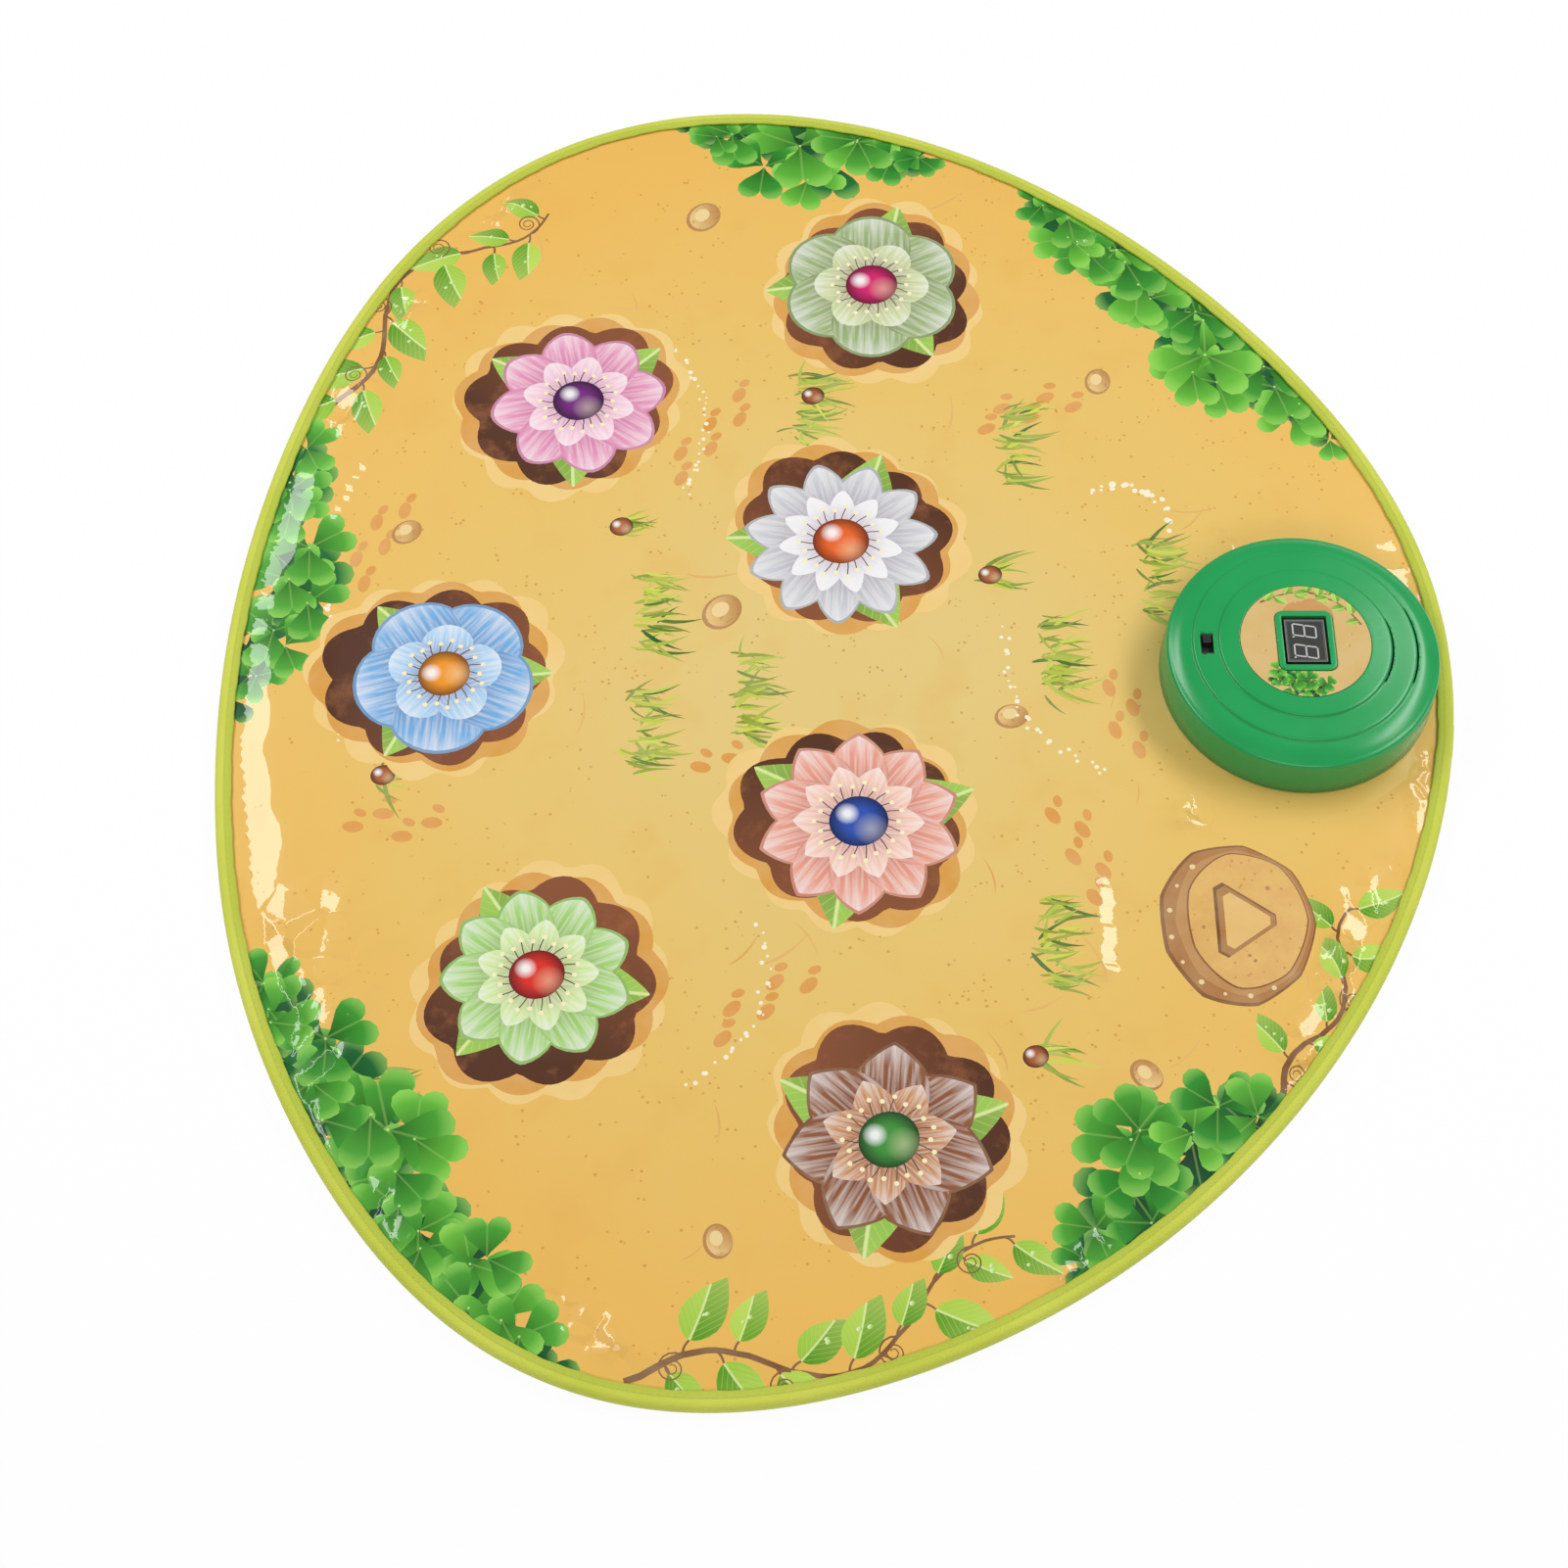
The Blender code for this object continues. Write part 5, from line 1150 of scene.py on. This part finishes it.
def binding_piece():
    """The section carried along the edge, with puckers at the stitches and one overlapping end. The
    weave is laid on it by the distances along the edge and round the section."""
    curve, way, length = edge_curve(TAPE_POINTS)
    way = way[:, None]
    inset, height = TAPE.T
    upper = smooth(height, 3.5, 7.5)
    near_stitch = bell(inset - STITCH_INSET) * smooth(height, 7.9, 8.4)
    sag = -0.16 * (0.6 + 0.4 * np.cos(2 * np.pi * way / STITCH_PITCH)) * near_stitch
    lip_wave = (0.18 * np.sin(way / 5.3) + 0.12 * np.sin(way / 2.1 + 1.2)) * smooth(inset, 6.5, 9.0) * upper
    belly = 0.12 * np.sin(way / 14.0 + 2 * np.sin(way / 53)) * bell((inset - 2) / 2.2) * upper
    overlap = smooth(way, 14, 14.8) * (1 - smooth(way, 33, 33.8)) * upper * 0.35
    moved = np.maximum(inset + lip_wave - 0.6 * overlap, 0)
    flat = curve[:, None] + inward(curve)[:, None] * moved[..., None]
    level = height + sag + belly + overlap
    points = np.dstack([flat, level]).reshape(-1, 3)
    piece = new_piece("binding_tape", points, grid_faces(*level.shape, True, True))
    r, c = (part.ravel() for part in np.indices(level.shape))
    u = np.stack([r, r + 1, r + 1, r], 1) * (length / len(curve))
    v = TAPE_WAY[np.stack([c, c, c + 1, c + 1], 1)]
    weave = np.stack([u, v], -1) * WEAVE_UNIT
    piece.data.uv_layers.new(name="weave").uv.foreach_set("vector", weave.ravel())
    return piece


binding = binding_piece()
print("binding:", len(binding.data.polygons), "faces")

# %% Stitches
def thread_form(count=6):
    """A thread's loop: three rings between two tips, whose radius follows a half ellipse and whose ends
    dip into the tape."""
    along = np.array([-0.62, 0.0, 0.62])[:, None]
    radius = np.sqrt(1 - along ** 2)[..., None]
    rings = np.dstack([np.repeat(along, count, 1), radius * ways(full_turn(count))])
    rings[..., 2] -= 1.2 * along ** 2
    tips = np.array([(-1, 0, -1.2), (1, 0, -1.2)])
    sides = as_triangles(grid_faces(3, count, False, True))[:, ::-1]
    first = np.arange(count)
    following = (first + 1) % count
    start_tip = np.column_stack([following, first, np.full(count, 3 * count)])
    end_tip = np.column_stack([first + 2 * count, following + 2 * count, np.full(count, 3 * count + 1)])
    return np.vstack([rings.reshape(-1, 3), tips]), np.vstack([sides, start_tip, end_tip])


def stitch_piece():
    form, faces = thread_form()
    form = form * (STITCH_LENGTH / 2, 0.30, 0.28)
    curve = edge_curve(int(EDGE_LENGTH / STITCH_PITCH))[0]
    inner = inward(curve)
    middle = (curve + inner * STITCH_INSET)[:, None]
    flat = middle - lefts(inner)[:, None] * form[:, 0:1] + inner[:, None] * form[:, 1:2]
    level = np.broadcast_to(TAPE_HEIGHT - 0.10 + form[:, 2], flat.shape[:2])
    every = faces + (np.arange(len(curve)) * len(form))[:, None, None]
    return new_piece("binding_stitches", np.dstack([flat, level]).reshape(-1, 3), every.reshape(-1, 3))


stitches = stitch_piece()
print("stitches:", len(stitches.data.polygons), "faces")

# %% Tape and thread finishes
def weave_body(where, pitch):
    """Threads over and under each other, a little fuzzy, with painted shade where they dip and painted light
    where they rise.
    """
    over = (where.part(0) * pitch).math("SINE") * (where.part(1) * pitch).math("SINE")
    height = where.noise(9.0, 3.0).math("MULTIPLY_ADD", 0.5, over)
    # The Shade output paints shade into the dips of the weave and light onto its crossings
    return {"Height": height, "Shade": over.span(-1, 1, 0.86, 1.08)}


WEAVE = new_group("tape_weave", weave_body, Pitch=1.0)
stitch_corner = int((TAPE == (STITCH_INSET, TAPE_HEIGHT)).all(1).argmax())
STITCH_LINE = WEAVE_UNIT * float(TAPE_WAY[stitch_corner])
print("stitch line lies at", round(STITCH_LINE, 3), "of the tape's own width")


def tape_finish():
    """Woven tape, with painted shade along the stitches and on the inner band past them, where it is pressed
    down.
    """
    look, where = finish("lime_tape", roughness=0.62, sheen=0.12)
    cloth = put(where.tree, "UVMap", uv_map="weave")
    weave = cloth.through(WEAVE, Pitch=62.0)
    lime = mixed(where.noise(14.0, 3.0).span(0.3, 0.7), shade(204, 214, 62), shade(220, 226, 84))
    across = cloth.part(1)
    # Painted shade: darker in the stitch groove and on the pressed-down band inside it
    groove_shade = (across - STITCH_LINE).math("ABSOLUTE").span(0.03, 0.11, 0.55, 0.0)
    lip = across.span(STITCH_LINE, STITCH_LINE + 0.12, 0.0, 0.45)
    lime = mixed(groove_shade.math("MAXIMUM", lip), lime, shade(168, 186, 44))
    return painted(look, times(lime, weave["Shade"].grey()), weave["Height"], 0.35, 0.0003)


def thread_finish():
    look, where = finish("lime_thread", roughness=0.55, sheen=0.2)
    twist = where.texture("Wave", "Fac", Scale=900.0, Distortion=2.0)
    return painted(look, mixed(twist, shade(176, 186, 58), shade(222, 226, 110)), twist, 0.4, 0.0001)


binding.data.materials.append(tape_finish())
stitches.data.materials.append(thread_finish())
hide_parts("edge_binding")
for piece in (binding, stitches):
    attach(piece, "mat")

# %% [markdown]
# ## Backing felt
#
# The underside is a thin grey felt. It is one flat cut with the same edge as the sheet and a hole for
# the unit's neck, given its thickness by Solidify.

# %% Backing
BACKING_LOW, BACKING_THICK = 1.8, 0.8


def felt_finish():
    look, where = finish("grey_felt", roughness=0.95, sheen=0.3)
    fibre = where.noise(900.0, 5.0, 0.8)
    grey = mixed(fibre, shade(120, 122, 124), shade(176, 178, 178))
    grey = mixed(where.noise(18.0, 3.0).span(0.3, 0.7, 0.0, 0.3), grey, shade(150, 150, 146))
    return painted(look, grey, fibre, 0.6, 0.0004)


field = lattice(14.0, EDGE.min(0), EDGE.max(0))
field = field[from_edge(field)[0] > 8]
flat, corners, top, backing_area = tile(sheet_edge, [neck_hole], field)
points = np.column_stack([flat, np.full(len(flat), BACKING_LOW + BACKING_THICK)])
backing = new_piece("backing_felt", points, corners)
solid = backing.modifiers.new("thickness", "SOLIDIFY")
solid.thickness = BACKING_THICK * MM
solid.offset = -1
backing.data.materials.append(felt_finish())
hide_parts("backing_sheet")
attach(backing, "mat")
backing_area / 1e6

# %% [markdown]
# ## Score unit's cover
#
# The cover is a green moulding. From above it is a height over a flat disc, with steps, so it is made
# as the print was: rings of points are triangulated round the switch slot, the sound slots and an open
# hub under the label, then lifted by the section. The outer wall is a grid of its own, and so is the
# bezel round the display's window.

# %% Section of the cover
FOOT_RADIUS, FOOT_LEVEL = 72.9, 7.0
RIM_RADIUS, WALL_TOP = 72.0, 30.0
RIM_ROUND, RIM_RISE = 2.4, 2.15
SHOULDER_END = (60.2, 35.46)
OUTER_STEP, INNER_STEP = 58.5, 45.2
LABEL_RIM, LABEL_FLOOR, HUB_RADIUS = 40.1, 39.5, 26.0
COVER_STEPS = 240
SLOT_X, SLOT_HALF_X, SLOT_HALF_Y = -51.3, 3.2, 5.7
SKIN = 2.1
# The roof's rings down to this one make the top of the outer wall
WALL_RINGS = 8


def rounded(start, corner, end, steps=4):
    """A fillet between two points round a corner: a parabola drawn by three control points."""
    share = np.linspace(0, 1, steps + 1)[:, None]
    start, corner, end = (np.array(point, float) for point in (start, corner, end))
    return (1 - share) ** 2 * start + 2 * share * (1 - share) * corner + share ** 2 * end


def roof_section():
    """Radius and height from the rim inwards, over the shoulder and the two steps, to the label."""
    foot = np.array([RIM_RADIUS - RIM_ROUND, WALL_TOP + RIM_RISE])
    share = np.linspace(0, 1, 12)[1:]
    shares = np.column_stack([share, np.sin(share * np.pi / 2) ** 0.95])
    parts = [
        rounded((RIM_RADIUS, WALL_TOP - 0.9), (RIM_RADIUS, WALL_TOP + 1.5), foot, 8),
        foot + (SHOULDER_END - foot) * shares,
        rounded((59.9, 35.48), (59.0, 35.5), (58.75, 36.0), 5),
        rounded((58.55, 36.45), (58.3, 37.08), (56.9, 37.16), 7),
        [(55.5, 37.25), (51.0, 37.49), (47.6, 37.67)],
        rounded((46.6, 37.74), (45.7, 37.78), (45.45, 38.25), 5),
        rounded((45.2, 38.75), (44.95, 39.36), (43.6, 39.46), 7),
        [(42.4, 39.55), (39.0, 39.8), (35.6, 40.02)],
        rounded((34.9, 40.07), (34.55, 40.1), (34.5, 39.9), 3),
        [(34.45, 39.52), (33.9, LABEL_FLOOR), (HUB_RADIUS, LABEL_FLOOR)],
    ]
    return np.vstack(parts)


ROOF = roof_section()
print("roof section:", len(ROOF), "rings")

# %% Cover mesh
def arc_slot(radius, low_degrees, high_degrees, width=1.0, count=26):
    """A curved slot on the side away from the switch, that narrows to nothing at its ends."""
    way = ways(np.radians(np.linspace(low_degrees, high_degrees, count)))
    bulge = np.sin(np.linspace(0, np.pi, count)) ** 0.25 * width / 2
    middle = radius + width / 2
    return np.vstack([way * (middle + bulge)[:, None], (way * (middle - bulge)[:, None])[-2:0:-1]])


def on_roof(points, drop=0.0):
    """Points lifted to the roof, or to a distance below it."""
    height = np.interp(np.hypot(*points.T), ROOF[::-1, 0], ROOF[::-1, 1])
    return np.column_stack([points, height - drop])


def densified(loop, step):
    """A closed loop with points added along its sides."""
    following = np.roll(loop, -1, 0)
    counts = np.maximum(1, np.ceil(np.hypot(*(following - loop).T) / step).astype(int))
    return np.vstack([a + np.outer(np.arange(n) / n, b - a) for a, b, n in zip(loop, following, counts)])


def cover_mesh():
    """The roof and the same triangles turned over as its inner skin, the walls of the openings between
    them, and the outer wall, which turns in at the foot and comes back up inside."""
    ring = disc(COVER_STEPS)
    field = (ring * ROOF[WALL_RINGS + 1:-1, 0][:, None, None]).reshape(-1, 2)
    switch = densified(SQUARE * (SLOT_HALF_X, SLOT_HALF_Y) + (SLOT_X, 0), 1.2)
    sounds = [arc_slot(INNER_STEP + 0.35, -33, 19), arc_slot(OUTER_STEP + 0.35, -24, 24)]
    openings = [ring * HUB_RADIUS, switch, *sounds]
    flat, corners, top, area = tile(ring * ROOF[WALL_RINGS, 0], openings, field)
    points = [on_roof(flat), on_roof(flat, SKIN)]
    faces = [corners, corners[:, ::-1] + len(flat)]
    count = 2 * len(flat)
    for loop in [*openings[1:], openings[0]]:
        points += [on_roof(loop), on_roof(loop, SKIN)]
        faces.append(as_triangles(grid_faces(2, len(loop), False, True) + count))
        count += 2 * len(loop)
    section = np.array(
        [
            (ROOF[WALL_RINGS, 0], ROOF[WALL_RINGS, 1] - SKIN), (69.6, 27.4), (70.7, FOOT_LEVEL),
            (FOOT_RADIUS - 0.25, FOOT_LEVEL), (FOOT_RADIUS, FOOT_LEVEL + 0.35),
            (RIM_RADIUS + 0.45, 18.5), (RIM_RADIUS + 0.03, 28.8), *ROOF[: WALL_RINGS + 1],
        ]
    )
    height = np.repeat(section[:, 1:], COVER_STEPS, 1)
    points.append(np.dstack([section[:, None, :1] * ring, height]).reshape(-1, 3))
    faces.append(as_triangles(grid_faces(len(section), COVER_STEPS, False, True)[:, ::-1] + count))
    return np.vstack(points), np.vstack(faces)


# %% Bezel
WINDOW_HALF_X, WINDOW_HALF_Y, BEZEL_RIM, BEZEL_TOP = 11.75, 15.0, 3.4, 41.1
BEZEL_FOOT = 36.0
CORNER_STEPS = 8


def rounded_loop(half_x, half_y, corner):
    """A rounded rectangle, anticlockwise, with the same number of points for any size."""
    quarter = np.linspace(0, np.pi / 2, CORNER_STEPS)
    turn = np.concatenate([quarter + number * np.pi / 2 for number in range(4)])
    side_x = np.repeat([1, -1, -1, 1], CORNER_STEPS) * (half_x - corner)
    side_y = np.repeat([1, 1, -1, -1], CORNER_STEPS) * (half_y - corner)
    return np.column_stack([side_x, side_y]) + corner * ways(turn)


def window_loop(out):
    """The window's outline, moved outwards: its corners grow rounder with the distance."""
    return rounded_loop(WINDOW_HALF_X + out, WINDOW_HALF_Y + out, 0.6 + 3.9 * out / BEZEL_RIM)


def bezel_mesh():
    """A closed section, as distances out from the window and heights, carried round the window."""
    inner = rounded((0.0, 40.5), (0.0, BEZEL_TOP), (0.6, BEZEL_TOP))
    outer = rounded((2.6, BEZEL_TOP), (BEZEL_RIM, BEZEL_TOP), (BEZEL_RIM, 40.4))
    down = [(BEZEL_RIM, LABEL_FLOOR), (BEZEL_RIM, BEZEL_FOOT)]
    section = np.vstack([(0.0, BEZEL_FOOT), inner, outer, down])
    count = 4 * CORNER_STEPS
    loops = [np.column_stack([window_loop(out), np.full(count, level)]) for out, level in section]
    return np.vstack(loops), as_triangles(grid_faces(len(section), count, True, True)[:, ::-1])


points, faces = cover_mesh()
bezel_points, bezel_faces = bezel_mesh()
faces = np.vstack([faces, bezel_faces + len(points)])
cover = new_piece("unit_cover", np.vstack([points, bezel_points]) + (UNIT_X, 0, 0), faces)
weld = cover.modifiers.new("weld", "WELD")
weld.merge_threshold = 0.004 * MM
cover.data.set_sharp_from_angle(angle=math.radians(38))
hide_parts("unit_top_shell")
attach(cover, "mat")
print("cover:", len(faces), "triangles")

# %% [markdown]
# ## Moulded plastic and metal finishes
#
# The cover, the base and the door come from one green plastic, so they share a group: a fine spark
# texture from the mould, and gloss that varies a little. Metal parts share a brushed group.

# %% Plastic and metal groups
def moulded_body(where, gloss):
    """Spark texture for the height, and slow flow marks in the gloss and the shade."""
    flow = where.noise(30.0)
    roughness = flow.math("MULTIPLY_ADD", 0.10, gloss)
    return {"Height": where.noise(1500.0), "Roughness": roughness, "Shade": flow.span(0.3, 0.7, 0.96, 1.03)}


def brushed_body(where):
    """Long scratches for the height, and dull patches in the roughness and the tarnish."""
    lines = put(where.tree, "Mapping", {"Vector": where, "Scale": (1, 14, 1)}).noise(400.0, 4.0)
    dull = where.noise(90.0, 3.0)
    spans = {"Roughness": dull.span(0.3, 0.7, 0.22, 0.42), "Tarnish": dull.span(0.5, 0.8, 0.0, 0.5)}
    return {"Height": lines, **spans}


MOULDED = new_group("moulded_plastic", moulded_body, Gloss=0.4)
BRUSHED = new_group("brushed_metal", brushed_body)


def plastic(name, colour, gloss):
    """Moulded plastic of one colour."""
    look, where = finish(name, roughness=gloss, specular=0.6)
    mould = where.through(MOULDED, Gloss=gloss - 0.05)
    colour = times(colour, mould["Shade"].grey())
    return painted(look, colour, mould["Height"], 0.5, 0.00004, mould["Roughness"])


def metal(name, colour, tarnish):
    """Brushed metal with dull patches."""
    look, where = finish(name, metallic=1.0)
    brushed = where.through(BRUSHED)
    colour = mixed(brushed["Tarnish"], colour, tarnish)
    return painted(look, colour, brushed["Height"], 0.3, 0.00005, brushed["Roughness"])


def soft_stuff(name, low, high, scale, roughness=0.85):
    """Foam, paper or ink: two shades in a noise, which also raises the surface."""
    look, where = finish(name, roughness=roughness)
    grain = where.noise(scale, 3.0, 0.7)
    return painted(look, mixed(grain.span(0.35, 0.65), low, high), grain, 0.5, 0.0002)


GREEN_PLASTIC = plastic("green_plastic", shade(30, 163, 86), gloss=0.26)
cover.data.materials.append(GREEN_PLASTIC)

# %% [markdown]
# ## Label and display
#
# The label is a round sticker on the cover's roof, printed like the mat. The place of its badge is
# left bare. The display is a dark window with two unlit digits, whose segments show as pale bars.

# %% Label
page = label_page
LABEL_RADIUS = 34.2
# Twigs of the label: start, end and bow
LABEL_TWIGS = (((-22, 24), (14, 29), 0.10), ((30, 10), (4, 30), -0.12))
# Clovers of the label: dark or not, number, nearest and farthest
LABEL_CLOVERS = ((True, 7, 25.5, 31.5), (False, 8, 24.0, 31.0))
# Pebbles of the label: middle and size
LABEL_PEBBLES = (((-22, -6), 1.1), ((-25, 3), 0.8), ((22, -3), 1.3), ((24, 4), 0.8), ((-3, 24), 0.9))

lay("plain", disc(60), UNIT_MIDDLE, 0, 40, shade(218, 182, 112))
lay("plain", torn(7, 0.10, 0.4), UNIT_MIDDLE + (1, 12), 0, 15, shade(206, 150, 84))
for start, end, bow in LABEL_TWIGS:
    path = arc_path(UNIT_MIDDLE + start, UNIT_MIDDLE + end, bow, 14)
    lay("plain", ribbon(path, 1.1, 0.5), tint=STEM)
    heading = math.atan2(end[1] - start[1], end[0] - start[0])
    # Leaves grow at every second point, on one side and the other
    for way_round, chosen in ((-1, np.arange(3, 14, 4)), (1, np.arange(1, 14, 4))):
        lean = heading + way_round * dice.uniform(0.7, 1.2, len(chosen))
        tints = between((140, 192, 56), (190, 222, 92), dice.random(len(chosen)))
        lay("leaf", LEAF * (1, -way_round), path[chosen], lean, dice.uniform(6.8, 9.0, len(chosen)), tints)
for dark, number, nearest, farthest in LABEL_CLOVERS:
    turns = np.linspace(3.95, 5.05, number) + dice.normal(0, 0.05, number)
    middles = UNIT_MIDDLE + ways(turns) * dice.uniform(nearest, farthest, number)[:, None]
    clovers(middles, dice.uniform(0, 2, number), dice.uniform(4.6, 6.4, number), dark)
for middle, size in LABEL_PEBBLES:
    lay("pebble", disc(12, 0.8), UNIT_MIDDLE + middle, 0.4, size, shade(236, 204, 140))

label_edge = circle(UNIT_X, 0, LABEL_RADIUS, 150)
hole_rim = BEZEL_RIM + 0.3
label_hole = rounded_loop(WINDOW_HALF_X + hole_rim, WINDOW_HALF_Y + hole_rim, 4.8) + UNIT_MIDDLE
field = within(lattice(FIELD_STEP, label_edge.min(0), label_edge.max(0)), UNIT_MIDDLE, LABEL_RADIUS - 1)
label, area = print_piece("unit_label", label_page, label_edge, [label_hole], field, PRINT_FINISHES, LABEL_RIM)
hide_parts("label_disc")
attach(label, "mat")

# %% Display face
page = display_page
DISPLAY_HALF_X, DISPLAY_HALF_Y, DISPLAY_LEVEL = 10.7, 13.25, 40.23
# The frame's lines, from its edge inwards: half sizes and grey level. The pale lines, at 150 and 128, are
# painted highlights on the module's rims.
DISPLAY_LINES_AND_EDGE_HIGHLIGHTS = ((10.3, 12.85, 150), (10.0, 12.55, 60), (9.55, 12.1, 128), (9.35, 11.9, 56))
PALE = shade(200, 201, 197)


def segment(length, thick):
    """A bar with mitred ends, along X."""
    half, side = length / 2, thick / 2
    upper = [(half, 0), (half - side, side), (-half + side, side)]
    return np.array([(-half, 0), (-half + side, -side), (half - side, -side), *upper])


def digit_inks(middle, tall=12.0, wide=6.9, thick=0.8, slant=0.17):
    """Seven pale unlit bars and a dot. The digit's top points to +X, as it is read from the mat."""
    bars = [(x, 0, True) for x in (tall / 2, 0, -tall / 2)]
    bars += [(x, y, False) for x in (tall / 4, -tall / 4) for y in (wide / 2, -wide / 2)]
    for x, y, across in bars:
        length = (wide if across else tall / 2) - 0.25
        turn = np.pi / 2 if across else -math.atan(slant)
        lay("plain", segment(length, thick), middle + (x, y - slant * x), turn, 1, PALE)
    lay("plain", disc(12), middle + (-tall / 2, -wide / 2 - 0.2), 0, 0.55, PALE)


def display_ink(where, tint, u, v):
    """Dark resin, a little cloudy."""
    return mixed(where.noise(220.0, 3.0).span(0.3, 0.8, 0.0, 0.05), tint, shade(120, 122, 118))


lay("plain", SQUARE * (12, 14), UNIT_MIDDLE, 0, 1, shade(56, 55, 52))
# Dark lines, and pale lines that are painted highlights on the module's rims
for half_x, half_y, level in DISPLAY_LINES_AND_EDGE_HIGHLIGHTS:
    lay("plain", SQUARE * (half_x, half_y), UNIT_MIDDLE, 0, 1, shade(level, level, level - 4))
for y in (6.1, -6.6):
    digit_inks(UNIT_MIDDLE + (-0.3, y))
display_edge = SQUARE * (DISPLAY_HALF_X, DISPLAY_HALF_Y) + UNIT_MIDDLE
field = lattice(FIELD_STEP, UNIT_MIDDLE - 10, UNIT_MIDDLE + 10)
resin = {"plain": printed("display_resin", display_ink, coat_roughness=0.12)}
display_face, area = print_piece("display_face", display_page, display_edge, [], field, resin, DISPLAY_LEVEL)
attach(display_face, "mat")

# %% [markdown]
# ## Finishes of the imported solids
#
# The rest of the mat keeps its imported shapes, which are right for moulded, stamped and wound parts.
# Each gets a finish of its own, also the ones that only show with the battery door off.

# %% Solid finishes
def board_finish():
    """Green solder mask with a pattern of copper lines under it."""
    look, where = finish("board_mask", roughness=0.3, coat=0.4)
    tracks = where.texture("Brick", "Fac", **{"Scale": 180.0, "Mortar Size": 0.04})
    mask = mixed(where.noise(40.0), shade(18, 84, 48), shade(28, 104, 60))
    return painted(look, mixed(tracks * 0.6, mask, shade(72, 142, 80)), tracks, 0.3, 0.00005)


def cell_finish():
    """A cell's sleeve: plain bands of two colours round its length, over fine scuffs."""
    look, where = finish("cell_sleeve", roughness=0.35, metallic=0.3, coat=0.5)
    band = where.part(1).math("PINGPONG", 0.025) * 40.0
    body = band.ramp((0.2, shade(44, 46, 50)), (0.24, shade(206, 146, 62)))
    return painted(look, mixed(where.noise(240.0).span(0.6, 0.8, 0.0, 0.3), body, shade(220, 214, 200)))


def film_finish(name, colour, line_colour):
    """Clear film with printed silver lines."""
    look, where = finish(name, roughness=0.3, coat=0.3)
    line = where.texture("Wave", "Fac", Scale=40.0, Distortion=1.5).span(0.9, 0.96)
    return painted(look, mixed(line, mixed(where.noise(30.0), colour, shade(236, 238, 236)), line_colour))


STEEL = metal("plated_steel", shade(196, 198, 200), shade(150, 148, 142))
BLACK = plastic("black_plastic", shade(24, 24, 25), gloss=0.45)
LOOKS = {
    ("unit_base_shell", "battery_door"): GREEN_PLASTIC,
    ("switch_knob", "switch_body", "tail_clamp_bar", "speaker_frame"): BLACK,
    ("display_module",): plastic("display_body", shade(40, 41, 40), gloss=0.3),
    ("display_gasket",): soft_stuff("black_foam", shade(16, 16, 17), shade(34, 34, 36), 1400.0),
    ("control_chip",): plastic("chip_resin", shade(20, 20, 22), gloss=0.25),
    ("main_board",): board_finish(),
    ("speaker_cone",): soft_stuff("cone_paper", shade(38, 36, 34), shade(66, 62, 58), 700.0),
    ("speaker_magnet",): metal("dark_metal", shade(110, 112, 116), shade(70, 70, 74)),
    ("foam_spacer",): soft_stuff("white_foam", shade(214, 214, 210), shade(240, 240, 238), 1100.0),
    ("upper_circuit_film", "lower_circuit_film"): film_finish(
        "circuit_film", shade(220, 224, 226), shade(150, 154, 160)
    ),
    ("circuit_tail",): film_finish("tail_film", shade(206, 212, 214), shade(60, 62, 66)),
    ("speaker_lead_red", "battery_lead_red"): plastic("red_lead", shade(188, 30, 28), gloss=0.4),
    ("speaker_lead_black", "battery_lead_black"): plastic("black_lead", shade(26, 26, 28), gloss=0.4),
    ("battery_1", "battery_2", "battery_3"): cell_finish(),
}
CARBON = soft_stuff("carbon_ink", shade(24, 24, 26), shade(44, 44, 48), 600.0, 0.6)
METAL_WORDS = ("screw", "spring", "plate_", "link", "clamp")

looks = {name: look for names, look in LOOKS.items() for name in names}
for name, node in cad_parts.items():
    if name.endswith("_contact"):
        looks[name] = CARBON
    elif name not in looks and any(word in name for word in METAL_WORDS):
        looks[name] = STEEL
    if name in looks:
        node.data.materials.clear()
        node.data.materials.append(looks[name])
print("finishes:", len(bpy.data.materials))
